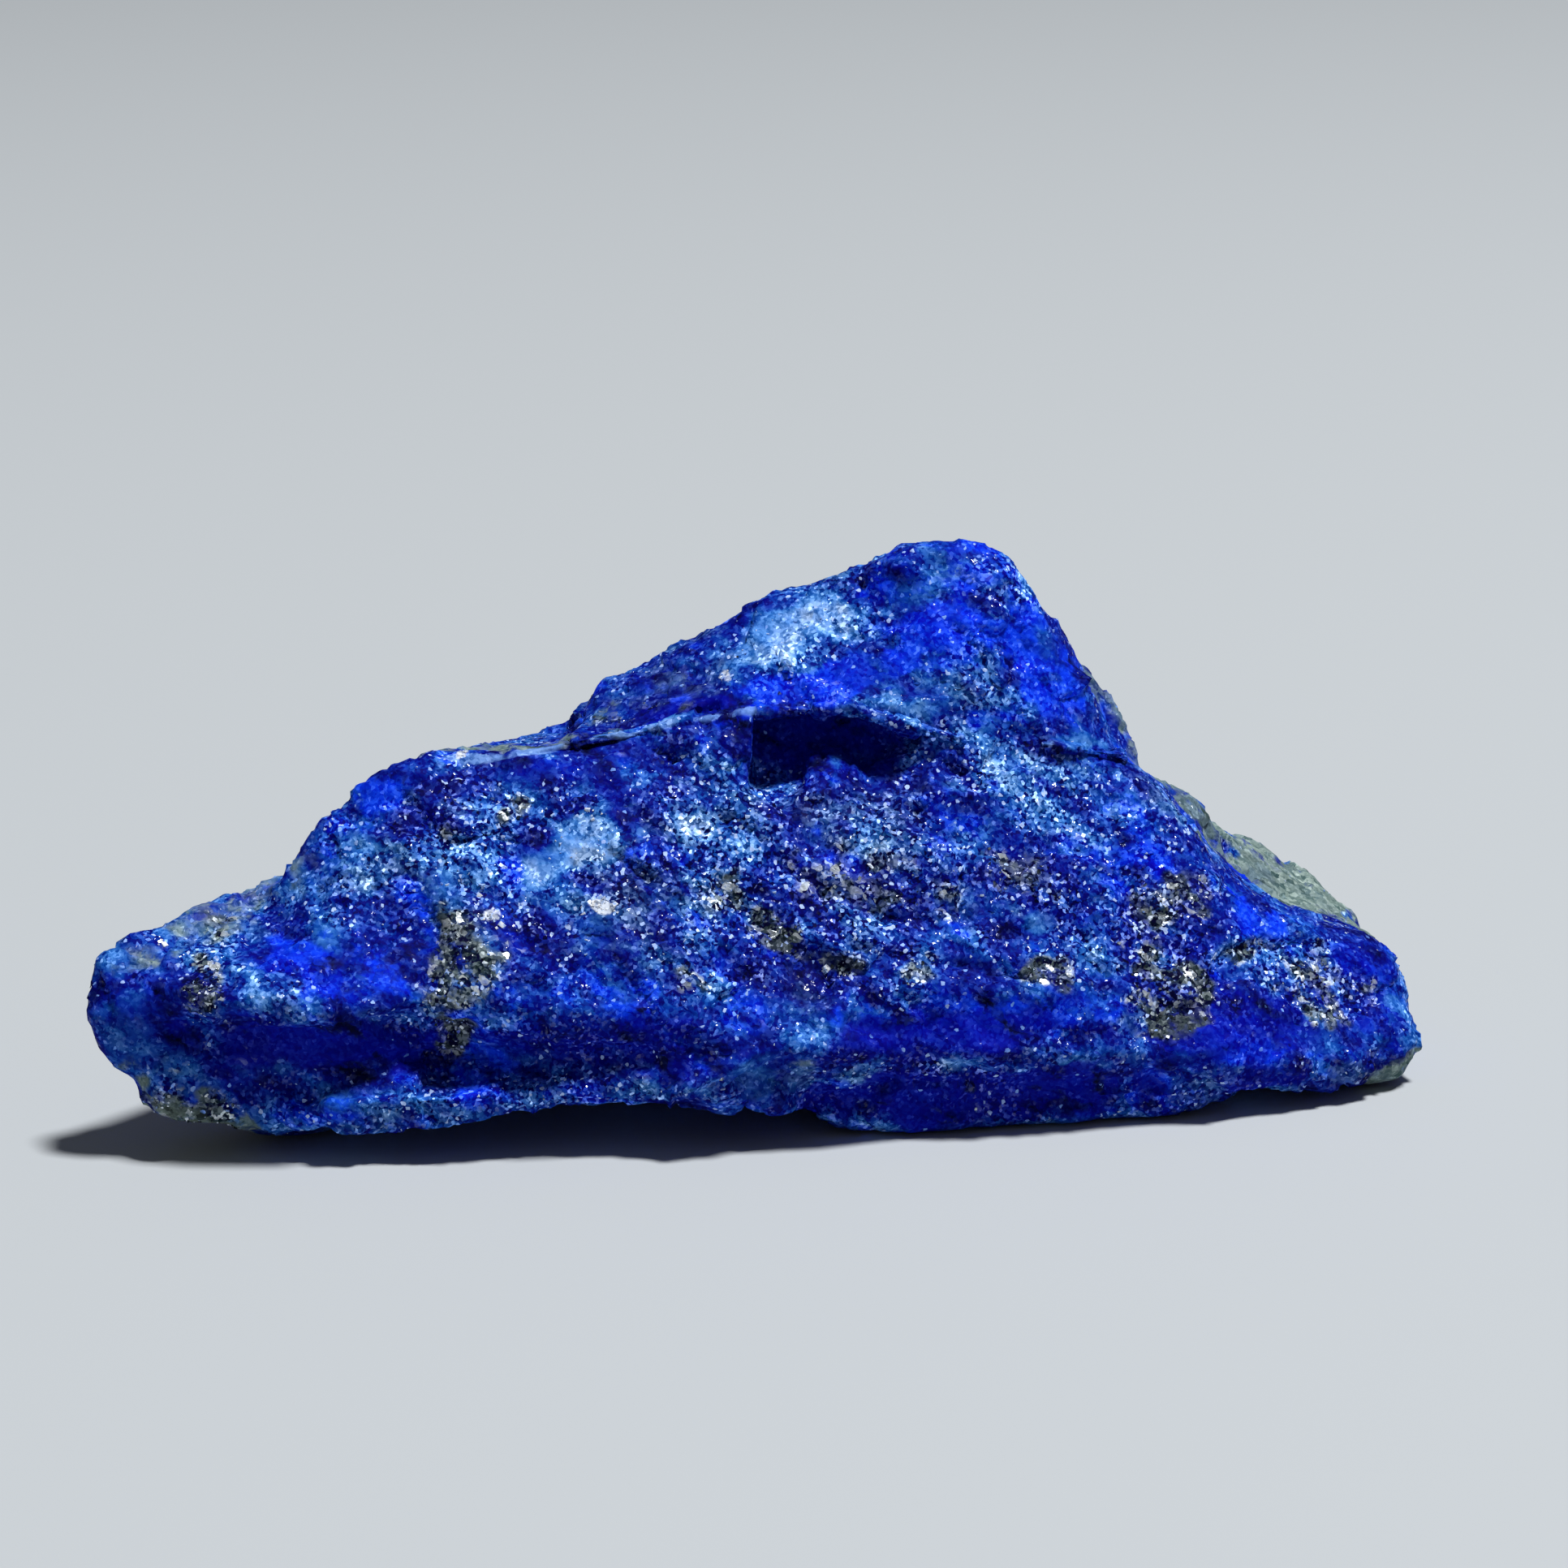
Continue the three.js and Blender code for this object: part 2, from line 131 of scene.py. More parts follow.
def makeMass():
    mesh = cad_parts["lapis_stone"].data.copy()
    mesh.materials.clear()
    bm = bmesh.new()
    bm.from_mesh(mesh)
    bmesh.ops.remove_doubles(bm, verts=bm.verts, dist=stone["weld"])
    bmesh.ops.scale(bm, vec=(perMetre, perMetre, perMetre), verts=bm.verts)
    smoothOver(bm, stone["facetPasses"])
    bm.to_mesh(mesh)
    bm.free()
    piece = newPiece("lapisStone", mesh)
    for name, corners in stone["breaks"].items():
        cutter = newPiece(name, hullMesh(corners))
        cut = piece.modifiers.new(name, "BOOLEAN")
        cut.operation = "DIFFERENCE"
        cut.solver = "EXACT"
        cut.object = cutter
        bakeModifiers(piece)
        bpy.data.objects.remove(cutter)
    joinHulls(piece, stone["proud"].values())
    remeshed(piece, stone["spacing"])
    print("mass made:", len(piece.data.vertices), "points")
    return piece


# Thin worn ledges along the crest, a piece of their own.
crest = {
    "spacing": 0.055,  # they are thin, so they need closer points
    "pointPasses": 2,
    "normalPasses": 6,
    # points along each ledge's front edge
    "lines": {
        "slab": [(-9.5, -3.95, 10.5), (-8.9, -3.97, 10.62), (-7.4, -4.0, 10.64), (-6.6, -3.9, 10.84),
                 (-5.6, -3.8, 11.14), (-4.7, -3.68, 11.34), (-3.5, -3.58, 11.44), (-2.1, -3.46, 11.64),
                 (-0.85, -3.28, 11.84), (-0.4, -3.2, 11.88)],
        "roof": [(-0.5, -3.2, 11.88), (1.4, -3.08, 11.93), (2.9, -2.98, 11.98)],
        "descent": [(2.8, -3.0, 11.97), (4.0, -3.12, 11.54), (4.9, -3.14, 11.28), (5.8, -3.1, 11.1)],
        "right": [(8.0, -2.35, 10.72), (9.2, -1.85, 10.45), (10.7, -1.0, 10.02)],
    },
    # how far its section goes back and up from that edge
    "sections": {
        "slab": [(0.0, 0.0), (0.45, 0.05), (-0.04, -0.3), (0.7, -0.6)],
        "roof": [(0.0, 0.0), (0.5, 0.08), (0.08, -0.2), (1.6, 0.0), (1.6, -0.2)],
        "descent": [(0.0, 0.0), (0.5, 0.02), (-0.02, -0.25), (0.8, -0.4)],
        "right": [(0.0, 0.0), (0.5, 0.1), (0.0, -0.25), (0.8, -0.5)],
    },
    "worn": {"slab": 1.35, "roof": 0.5, "descent": 0.7, "right": 1.1},  # how strongly each edge is painted pale: a painted highlight where its top catches the light
    "wornWidth": 0.2,  # how far the painted highlight reaches from the edge
    "wornTear": 0.5,  # and how ragged it is
    # the crest ends in a broken cheek at the notch's left
    "cheek": [(-1.3, -3.32, 11.8), (-0.4, -3.2, 11.86), (-1.2, -4.36, 9.6), (-0.4, -4.36, 9.6),
              (-0.4, -2.6, 11.8), (-0.4, -3.2, 9.5), (-1.3, -2.8, 11.7), (-1.2, -3.6, 9.5)],
}


def makeCrest():
    hulls = [crest["cheek"]]
    for name, line in crest["lines"].items():
        for ends in zip(line, line[1:]):
            hulls.append([(x, y + back, z + up) for x, y, z in ends for back, up in crest["sections"][name]])
    piece = newPiece("crestLedges", bpy.data.meshes.new("crestLedges"))
    joinHulls(piece, hulls)
    remeshed(piece, crest["spacing"])
    print("crest made:", len(piece.data.vertices), "points")
    return piece


lapisStone = makeMass()
crestLedges = makeCrest()


def blendStep(low, high, value):
    # 0 up to low, 1 from high, and eased between them
    t = np.clip((value - low) / (high - low), 0.0, 1.0)
    return t * t * (3 - 2 * t)


def lineDistance(points, line):
    # how far each point is from a line of several stretches
    nearest = np.full(len(points), np.inf)
    for a, b in zip(line, line[1:]):
        a = np.array(a)
        way = np.array(b) - a
        t = np.clip((points - a) @ way / (way @ way), 0.0, 1.0)
        nearest = np.minimum(nearest, np.linalg.norm(points - a - t[:, None] * way, axis=1))
    return nearest


# What the rock is made of where it isn't plain blue: each patch's centre, its radii across, through
# and up, how far it climbs to the right in degrees, and its strength.
patches = {
    # pale with fine calcite
    "veil": {
        "summit": ((1.0, -0.9, 13.85), (2.8, 1.8, 0.7), 22, 0.95),
        "summitRight": ((4.0, -1.0, 14.6), (1.2, 1.2, 0.35), 25, 0.5),
        "summitFoot": ((4.2, -2.9, 11.8), (1.0, 1.0, 0.35), -15, 0.8),
        "rightOfNotch": ((7.0, -2.6, 10.3), (1.5, 1.4, 0.7), -30, 0.7),
        "rightTop": ((7.4, -3.2, 9.2), (2.0, 1.6, 0.8), -25, 0.3),
        "middleLeft": ((-5.0, -5.7, 8.9), (1.1, 1.2, 0.8), 0, 1.2),
        "middleLow": ((-6.1, -6.2, 8.1), (1.0, 1.2, 0.5), 20, 1.0),
        "middle": ((-1.9, -5.0, 8.9), (0.8, 1.2, 0.45), 0, 1.1),
        "shoulder": ((-8.5, -6.6, 7.8), (1.4, 1.2, 0.4), 5, 0.75),
        "leftShoulder": ((-10.2, -6.1, 8.4), (1.5, 1.5, 0.8), 20, 0.5),
        "rightOfMiddle": ((3.0, -4.6, 8.7), (0.7, 1.2, 0.5), -40, 0.6),
        "rightSpot": ((7.9, -5.0, 6.0), (0.45, 1.0, 0.3), 0, 0.7),
        "toe": ((-14.1, -8.9, 5.7), (0.8, 1.4, 0.5), -40, 0.3),
        "toeTop": ((-12.4, -7.4, 6.4), (0.9, 1.2, 0.4), -30, 0.4),
        "toeStreak": ((-16.6, -8.7, 3.0), (2.0, 1.2, 0.35), -34, 0.6),
        "toeSide": ((-18.0, -8.3, 3.9), (0.9, 1.6, 1.3), 0, 0.5),
        "lip": ((-10.6, -9.0, 1.9), (2.2, 1.2, 0.45), 0, 0.5),
        "lipRight": ((-5.8, -8.6, 1.8), (2.6, 1.2, 0.25), 3, 0.2),
        "fin": ((-0.9, -8.3, 2.6), (1.7, 1.0, 0.3), 24, 0.45),
        # along the crest the pale is partly calcite and partly a painted highlight on the tops that catch the
        # light
        "crest": ((-3.2, -3.4, 11.6), (3.6, 0.5, 0.16), 11, 0.9),
        "crestRight": ((9.6, -1.4, 10.4), (1.6, 0.8, 0.16), -15, 0.9),
        "notchLeft": ((-0.9, -3.9, 10.2), (0.4, 1.0, 0.7), 0, 0.5),
        # paler on the lump inside the notch: painted light on it in the notch's shade
        "notchInside": ((2.1, -2.4, 10.3), (0.3, 1.0, 0.6), 0, 0.6),
        "back": ((-1.0, 4.4, 8.0), (6.0, 2.6, 0.9), 24, 0.7),
        "backLow": ((5.0, 7.6, 3.4), (3.0, 2.0, 0.7), -10, 0.6),
        "backLeft": ((-10.0, 0.0, 5.0), (2.4, 2.0, 0.8), 10, 0.6),
    },
    # dark with ground pyrite
    "pyrite": {
        "left": ((-8.5, -8.2, 5.8), (1.2, 1.4, 1.4), -15, 0.8),
        "leftLow": ((-8.8, -7.6, 3.4), (0.6, 1.4, 0.9), 0, 0.85),
        "seamTop": ((-1.0, -5.7, 7.2), (0.75, 1.2, 0.7), 0, 0.7),
        "seam": ((0.4, -6.3, 6.1), (1.9, 1.4, 0.45), -40, 0.8),
        "seamFoot": ((2.2, -6.4, 5.2), (1.0, 1.2, 0.4), -10, 0.7),
        "middleLow": ((-2.2, -7.6, 5.3), (0.55, 1.2, 0.5), 0, 0.7),
        "rightOfSeam": ((4.4, -6.6, 4.9), (0.8, 1.2, 0.4), 0, 0.6),
        "belowRight": ((8.1, -5.7, 4.7), (0.7, 1.2, 0.5), 0, 0.8),
        "greyBand": ((3.4, -5.4, 7.2), (3.4, 1.4, 0.8), -8, 0.47),
        "greyRight": ((7.1, -4.4, 7.4), (1.8, 1.4, 0.7), 0, 0.5),
        "big": ((11.7, -4.8, 3.8), (1.3, 1.6, 1.5), -10, 0.85),
        "bigTop": ((11.9, -3.3, 6.2), (1.6, 1.4, 0.7), 0, 0.7),
        "brown": ((16.2, -2.6, 3.5), (1.6, 1.6, 1.1), -25, 0.62),
        "besideBig": ((14.2, -3.4, 4.6), (0.7, 1.2, 0.35), 0, 0.6),
        "toe": ((-15.8, -8.9, 5.3), (0.6, 1.4, 0.8), -30, 0.75),
        "toeSeam": ((-15.6, -6.8, 6.5), (0.6, 1.2, 0.5), -45, 0.6),
        "upperLeft": ((-7.4, -5.4, 9.5), (0.55, 1.0, 0.6), 0, 0.75),
        "upperLeftLow": ((-9.0, -5.9, 9.0), (0.5, 1.0, 0.4), 0, 0.5),
        # just behind the crest it is darker
        "underSummit": ((-2.3, -2.7, 11.95), (0.4, 0.8, 0.3), 0, 0.8),
        "behindCrest": ((-4.6, -2.4, 11.3), (1.2, 1.0, 0.25), 8, 0.5),
        "backWall": ((3.4, 5.2, 7.4), (2.0, 2.0, 1.2), 20, 0.8),
        "backFoot": ((-4.6, 6.0, 3.0), (2.2, 2.0, 1.0), -10, 0.8),
        "backTop": ((6.4, 1.4, 12.4), (1.2, 1.6, 1.4), 0, 0.6),
        "under": ((2.0, -2.0, 0.0), (3.0, 2.0, 0.8), 0, 0.6),
        "toeUnder": ((-15.9, -7.9, 1.2), (2.2, 1.8, 0.8), -36, 0.8),
    },
    # grey-green diopside
    "matrix": {
        "toeTop": ((-16.0, -6.0, 6.5), (2.6, 2.6, 0.7), 24, 0.48),
        "slabTop": ((-7.4, -2.0, 11.0), (2.6, 1.9, 0.5), 8, 0.85),
        "summitLeft": ((-3.2, -1.3, 12.0), (2.8, 1.8, 0.8), 25, 0.26),
        "rearHump": ((16.6, 4.4, 4.3), (3.4, 3.4, 2.5), -30, 1.15),
        "humpSeam": ((14.8, 3.8, 5.9), (2.2, 2.2, 1.4), -45, 0.8),
        "upperHump": ((12.9, 2.6, 7.4), (2.8, 2.2, 1.5), -48, 0.8),
        "summitEdge": ((10.6, 1.8, 10.2), (2.8, 1.8, 0.9), -62, 0.55),
        "cornerFoot": ((18.7, -2.2, 0.7), (1.3, 1.3, 0.4), 10, 0.9),
        "toeUnder": ((-15.9, -7.9, 1.2), (2.2, 1.8, 0.8), -36, 1.0),
        "lowBand": ((1.0, -6.8, 2.6), (1.2, 1.2, 0.35), 0, 0.35),
        "backFoot": ((9.0, 8.0, 1.2), (5.0, 2.4, 1.4), 0, 0.9),
        "backSeam": ((-6.0, 4.6, 4.6), (4.0, 2.4, 0.5), -16, 0.8),
        "underLeft": ((-8.0, -3.0, 0.4), (4.0, 3.6, 1.0), 0, 0.7),
    },
    # vivid lazurite
    "bright": {
        "summit": ((2.8, -2.2, 12.8), (1.9, 1.6, 0.6), 14, 1.0),
        "summitRight": ((5.4, -1.2, 14.4), (1.7, 2.0, 1.5), 20, 0.85),
        "summitFacet": ((8.0, -1.0, 13.0), (2.8, 1.8, 0.8), -60, 0.85),
        "summitTop": ((4.4, -0.8, 15.4), (1.6, 1.8, 0.8), 20, 0.6),
        "aboveNotch": ((1.4, -2.6, 12.4), (2.6, 1.6, 0.5), 5, 0.8),
        "upperLeft": ((-10.9, -4.7, 10.0), (1.2, 1.4, 0.7), 30, 0.8),
        "toeFace": ((-12.4, -8.2, 5.8), (2.2, 1.6, 1.1), -20, 0.85),
        "rightEdge": ((11.4, -3.2, 7.4), (2.6, 1.6, 0.9), -45, 0.6),
        "rightEdgeLow": ((14.5, -2.4, 5.2), (1.8, 1.4, 0.5), -30, 0.8),
        "rightFoot": ((13.6, -5.0, 2.4), (2.4, 1.6, 0.8), -5, 0.85),
        "rightFootEnd": ((17.2, -3.2, 2.2), (1.4, 1.6, 0.6), 0, 0.6),
        "rightEnd": ((18.4, -1.6, 2.6), (1.0, 2.0, 1.4), 0, 0.5),
        "leftFoot": ((-5.5, -8.2, 4.6), (2.8, 1.6, 1.1), 0, 0.75),
        "foot": ((5.5, -6.7, 3.6), (4.4, 1.4, 0.7), 0, 0.8),
        "back": ((-3.4, 4.4, 5.6), (4.0, 3.0, 1.6), 10, 0.7),
        "backTop": ((3.6, 1.4, 12.6), (3.0, 2.2, 1.6), 20, 0.7),
    },
    # painted shade in the notch, the hollows, the bands under the brow and other recesses, and some darker
    # inky rock elsewhere
    "darkRockAndShade": {
        "notch": ((2.0, -1.6, 10.7), (2.8, 1.8, 1.1), -8, 1.0),
        "notchLump": ((2.0, -2.4, 10.3), (0.9, 0.7, 0.6), 0, 0.5),
        "band": ((6.5, -6.3, 1.2), (6.6, 1.6, 1.0), 0, 1.0),
        "hollow": ((-12.4, -8.4, 3.4), (4.0, 1.6, 0.75), -3, 1.0),
        "leftFoot": ((-4.4, -8.2, 3.4), (3.6, 1.4, 0.9), -4, 0.6),
        "foot": ((4.8, -6.8, 3.2), (5.2, 1.4, 0.8), 0, 0.85),
        "toeTip": ((-18.4, -7.6, 4.6), (0.8, 1.6, 1.2), 0, 0.3),
        "upperLeft": ((-9.8, -5.4, 9.2), (0.9, 1.2, 0.6), 0, 0.35),
        "summitTop": ((5.0, -0.8, 15.8), (1.2, 1.4, 0.5), 10, 0.4),
        "underRight": ((14.6, -4.8, 1.2), (2.4, 1.4, 0.5), 4, 0.7),
        "backFoot": ((-1.0, 6.4, 2.0), (3.0, 2.0, 1.2), 0, 0.6),
        "rightLow": ((13.4, -4.2, 2.6), (3.6, 1.8, 1.3), 0, 0.6),
        "rightEnd": ((17.6, -2.4, 3.2), (2.0, 2.0, 2.0), 0, 0.4),
        "rightFace": ((8.6, -4.2, 7.0), (2.6, 2.0, 1.8), -30, 0.4),
        "toeFace": ((-12.4, -8.2, 5.3), (2.6, 1.8, 0.8), -20, 0.4),
        "toeSide": ((-17.6, -8.3, 4.2), (1.6, 1.8, 1.6), -20, 0.35),
        "underCrest": ((-5.0, -4.2, 10.6), (3.0, 1.2, 0.4), 10, 0.35),
        "behindCrest": ((-2.2, -2.3, 11.75), (2.4, 0.8, 0.2), 10, 0.8),
        "besideToe": ((-8.9, -8.2, 3.4), (0.7, 1.4, 0.9), 0, 0.6),
    },
    # nests of white calcite; the ones on the front's brightest spots are partly a painted glint
    "calcite": {
        "middle": ((-4.6, -7.0, 7.15), (0.38, 0.8, 0.22), -25, 0.75),
        "middleLow": ((-7.7, -7.4, 7.0), (0.3, 0.8, 0.2), 0, 0.7),
        "summit": ((-1.1, -1.6, 12.5), (0.2, 0.6, 0.2), 0, 0.8),
        "slab": ((-8.7, -3.9, 10.8), (0.2, 0.6, 0.14), 0, 0.8),
        "seam": ((1.7, -6.6, 5.3), (0.2, 0.8, 0.16), 0, 0.8),
        "back": ((4.2, 5.6, 6.8), (0.6, 1.4, 0.5), 0, 0.9),
        "backLeft": ((-7.0, 3.6, 5.4), (0.5, 1.2, 0.35), 0, 0.8),
    },
    # the painted highlight on the crest's edges has no patches: it follows the crest's lines
    "worn": {},
    # where the break is sugary, not smooth
    "sugary": {
        "middle": ((0.0, -5.8, 7.4), (8.0, 3.0, 2.4), -4, 1.0),
        "left": ((-8.6, -5.6, 8.8), (3.4, 2.2, 2.0), 20, 1.0),
        "right": ((11.0, -4.0, 5.6), (4.0, 2.6, 2.4), -30, 1.0),
        "crestRight": ((7.6, -2.6, 9.6), (3.4, 2.0, 1.4), -30, 0.7),
        "underNotch": ((2.2, -4.2, 9.2), (3.2, 1.6, 1.0), 0, 0.9),
        "summit": ((3.0, -1.0, 13.4), (7.0, 3.0, 3.0), 0, 0.22),
        "leftFoot": ((-4.6, -8.2, 3.6), (4.0, 1.6, 1.3), 0, 0.45),
        "foot": ((5.4, -6.8, 3.3), (5.6, 1.6, 1.1), 0, 0.4),
        "end": ((16.0, -2.8, 3.6), (1.8, 1.8, 1.4), 0, 0.5),
        "toe": ((-15.8, -8.4, 5.4), (0.9, 1.6, 1.2), 0, 0.5),
        "lip": ((-8.0, -8.8, 1.9), (4.4, 1.4, 0.5), 0, 0.6),
        "back": ((0.0, 5.0, 7.0), (9.0, 3.6, 3.6), 20, 1.0),
        "backRight": ((8.0, 6.0, 4.0), (5.0, 4.0, 2.6), 0, 0.8),
    },
}

# How a patch's edge is torn, and how thinly the same is scattered between the patches.
patchEdge = {
    "fade": (0.55, 1.25),  # from the middle out, 1 being the patch's own radius
    "tear": {"pyrite": 0.9, "sugary": 0.8, "matrix": 0.9},
    "tearElse": 0.55,
    "wide": 0.9,  # scales of the two noises that tear it
    "narrow": 2.3,
    "narrowShare": 0.6,
    "shift": (3.7, 1.3, 8.1),  # so that no two kinds tear alike
    "scatter": {"veil": 0.4, "pyrite": 0.2, "matrix": 0.1, "bright": 0.5, "darkRockAndShade": 0.35,
                "worn": 0.0, "sugary": 0.5, "calcite": 0.0},
    "scatterScale": 0.75,
    "scatterFade": (0.15, 0.5),
}


def patchStrength(points, ragged, kind):
    # 1 inside a patch and 0 outside, with a torn edge between
    strength = np.zeros(len(points))
    tear = patchEdge["tear"].get(kind, patchEdge["tearElse"])
    for centre, radii, climb, most in patches[kind].values():
        turn = np.array(Matrix.Rotation(radians(climb), 3, "Y"))
        off = (points - np.array(centre)) @ turn.T / np.array(radii)
        reach = np.linalg.norm(off, axis=1) + tear * ragged
        strength = np.maximum(strength, most * (1 - blendStep(*patchEdge["fade"], reach)))
    return strength


# How the rock breaks, on both pieces.
fracture = {
    "layerNormal": (0.52, 0.1, 0.85),  # the layers dip to the right
    "along": 1.4,  # how far a chip is drawn out down its layer
    "side": 1.15,  # and across it
    # chip size, how steeply chips lean, how far one stands above the next
    "chips": [(2.6, 0.08, 0.025), (1.2, 0.14, 0.05), (0.6, 0.19, 0.07), (0.3, 0.24, 0.085)],
    "fineUnder": 1.0,  # chips under this size are lower where the break is smooth
    "smoothShare": 0.5,  # how much of their height is left there
    "strokeRagged": 0.35,  # how much a ridge's width wanders
    "raggedScale": 1.1,
    "restFade": (0.0, 0.3),  # the break fades out between these heights above the table
    "restFlat": 0.02,  # and what is lower lies flat on it
}

# Ridges and furrows on the mass: the points that each runs through, half its width, its height.
strokes = {
    "toeTop": ([(-18.4, -7.1, 5.7), (-17.4, -6.5, 6.2), (-16.2, -5.9, 6.6)], 0.9, 0.4),
    "toeShoulder": ([(-13.9, -5.3, 7.5), (-12.6, -4.6, 8.8)], 0.9, 0.4),
    "tipCorner": ([(-19.4, -7.3, 5.2), (-19.35, -7.5, 4.9)], 0.5, -0.4),
    "slabEdge": ([(-9.6, -3.2, 10.5), (-8.8, -3.0, 10.6)], 0.6, 0.2),
    "toeTip": ([(-18.7, -7.3, 5.4), (-18.8, -7.7, 4.4), (-18.3, -7.8, 3.0)], 1.0, 0.17),
    "toeUnder": ([(-17.0, -8.1, 1.8), (-16.0, -8.3, 1.2), (-14.6, -8.4, 1.0), (-13.6, -8.4, 1.0)], 1.2, 0.7),
    "toeHollow": ([(-16.6, -8.6, 3.9), (-13.6, -9.1, 3.6), (-11.0, -9.0, 3.7), (-8.6, -8.6, 3.5)], 1.0, -0.5),
    "toeRidge": ([(-16.4, -9.0, 5.2), (-13.6, -9.6, 5.0), (-11.1, -9.6, 4.9), (-8.7, -9.2, 4.8)], 0.5, 0.2),
    "lipTop": ([(-12.2, -9.2, 2.0), (-10.0, -9.4, 2.2), (-7.8, -9.2, 2.3), (-5.5, -8.8, 2.2)], 0.55, 0.35),
    "aboveLip": ([(-8.4, -8.6, 3.1), (-5.6, -8.3, 3.0), (-3.4, -8.2, 3.1)], 0.6, -0.35),
    "fin": ([(-2.6, -8.5, 2.0), (-0.9, -8.5, 2.8), (0.4, -8.2, 3.3)], 0.35, 0.4),
    "underFin": ([(-0.6, -8.1, 2.2), (0.7, -7.9, 2.7)], 0.4, -0.3),
    "leftShoulder": ([(-10.8, -4.3, 10.1), (-9.8, -4.2, 10.5)], 0.9, 0.25),
    "summitFoot": ([(9.4, -0.4, 11.9), (10.2, -0.3, 11.2)], 0.8, 0.25),
    "frontFurrow": ([(-1.3, -5.7, 7.5), (0.6, -6.9, 5.6), (2.4, -7.3, 4.7)], 0.55, -0.2),
    "frontRidge": ([(-0.4, -5.6, 7.6), (1.6, -6.4, 5.9), (3.4, -6.9, 4.9)], 0.45, 0.15),
    "sideFurrow": ([(1.5, -5.4, 7.3), (3.2, -5.6, 6.4), (5.8, -5.4, 6.0)], 0.35, -0.12),
    "rightFurrow": ([(2.6, -6.3, 5.6), (5.2, -6.1, 5.1), (8.4, -5.5, 4.8)], 0.4, -0.15),
    "rightRidge": ([(2.6, -6.9, 4.7), (5.6, -6.4, 4.4), (8.4, -5.9, 4.2)], 0.45, 0.12),
    "cornerFurrow": ([(10.6, -3.6, 7.0), (11.5, -4.6, 5.2), (11.9, -5.4, 3.2)], 0.6, -0.3),
    "brow": ([(0.6, -7.7, 3.2), (4.0, -7.3, 2.9), (8.0, -6.6, 2.6), (12.6, -5.7, 2.3)], 0.6, 0.2),
    "underBrow": ([(1.6, -6.9, 1.1), (4.0, -6.7, 1.0), (8.0, -6.2, 0.9), (12.4, -5.4, 0.9)], 1.3, -0.4),
    "summit": ([(3.4, -0.7, 15.6), (4.4, -0.7, 16.0), (5.6, -0.7, 16.2), (6.8, -0.7, 16.0)], 1.1, 0.4),
    "summitSide": ([(9.8, 1.6, 11.6), (10.3, 1.4, 10.7), (10.9, 1.0, 9.7)], 0.9, 0.3),
    "endCorner": ([(18.9, 0.9, 3.4), (19.2, 0.0, 3.2)], 0.5, -0.4),
    "rightEnd": ([(18.9, -2.2, 2.2), (19.0, -1.6, 1.7)], 1.0, 0.12),
}

layerNormal = Vector(fracture["layerNormal"]).normalized()
layerSide = layerNormal.cross(Vector((1, 0, 0))).normalized()
layerAlong = layerSide.cross(layerNormal)
half = Vector((0.5, 0.5, 0.5))
# multiples that keep one size's chips, leans and steps from matching another's
seedStep = 11.3
seedWay = (1.0, 1.7, 0.3)
leanScatter = 19.0
stepScatter = 31.0


def inLayers(p):
    return Vector((p.dot(layerAlong) / fracture["along"], p.dot(layerSide) / fracture["side"],
                   p.dot(layerNormal)))


def chipHeight(p, size, slope, step, seed):
    # each chip is a flat broken face that leans its own way
    q = inLayers(p) / size + Vector([seed * way for way in seedWay])
    centre = noise.voronoi(q)[1][0]
    lean = noise.cell_vector(centre * leanScatter) - half
    return size * (2 * slope * lean.dot(q - centre) + step * 0.5 * noise.cell(centre * stepScatter))


def roughen(piece, passes):
    # strokes and chips, stood out along the surface's own smooth directions
    bm = bmesh.new()
    bm.from_mesh(piece.data)
    smoothOver(bm, passes["pointPasses"])
    surface = [v.co.copy() for v in bm.verts]
    smoothOver(bm, passes["normalPasses"])
    bm.normal_update()
    outward = np.array([v.normal for v in bm.verts])
    points = np.array(surface)
    lift = np.zeros(len(points))
    ragged = np.array([noise.noise(p * fracture["raggedScale"]) for p in surface])
    for line, halfWidth, height in strokes.values():
        away = lineDistance(points, line) / (halfWidth * (1 + fracture["strokeRagged"] * ragged))
        lift += height * np.clip(1 - away * away, 0, 1) ** 2
    smoothShare = fracture["smoothShare"]
    coarseness = smoothShare + (1 - smoothShare) * patchStrength(points, ragged, "sugary")
    for i, (size, slope, step) in enumerate(fracture["chips"]):
        chips = np.array([chipHeight(p, size, slope, step, seedStep * (i + 1)) for p in surface])
        lift += chips * coarseness if size < fracture["fineUnder"] else chips
    points += outward * (lift * blendStep(*fracture["restFade"], points[:, 2]))[:, None]
    points[:, 2] = np.where(points[:, 2] < fracture["restFlat"], 0.0, points[:, 2])
    for v, p in zip(bm.verts, points):
        v.co = p
    bm.to_mesh(piece.data)
    bm.free()
    print("surface broken:", piece.name)


roughen(lapisStone, stone)
roughen(crestLedges, crest)


def markPatches(piece):
    # each kind's strength is kept on the mesh, where the material reads it
    surface = [v.co.copy() for v in piece.data.vertices]
    points = np.array(surface)
    wide, narrow, share = patchEdge["wide"], patchEdge["narrow"], patchEdge["narrowShare"]
    for i, kind in enumerate(patches):
        shift = Vector(patchEdge["shift"]) * (i + 1)
        ragged = np.array([noise.noise(p * wide + shift) + share * noise.noise(p * narrow + shift)
                           for p in surface])
        strength = patchStrength(points, ragged, kind)
        # the crest's edges get a painted highlight, paler where their tops catch the light
        if kind == "worn":
            for name, much in crest["worn"].items():
                far = lineDistance(points, crest["lines"][name]) / crest["wornWidth"]
                strength = np.maximum(strength, much - far + crest["wornTear"] * ragged)
        scatter = np.array([noise.noise(inLayers(p) * patchEdge["scatterScale"] + shift * 2)
                            for p in surface])
        between = patchEdge["scatter"][kind] * blendStep(*patchEdge["scatterFade"], scatter)
        mark = piece.data.attributes.new(kind, "FLOAT", "POINT")
        mark.data.foreach_set("value", np.maximum(strength, between).astype(np.float32))
    print("patches marked:", piece.name)


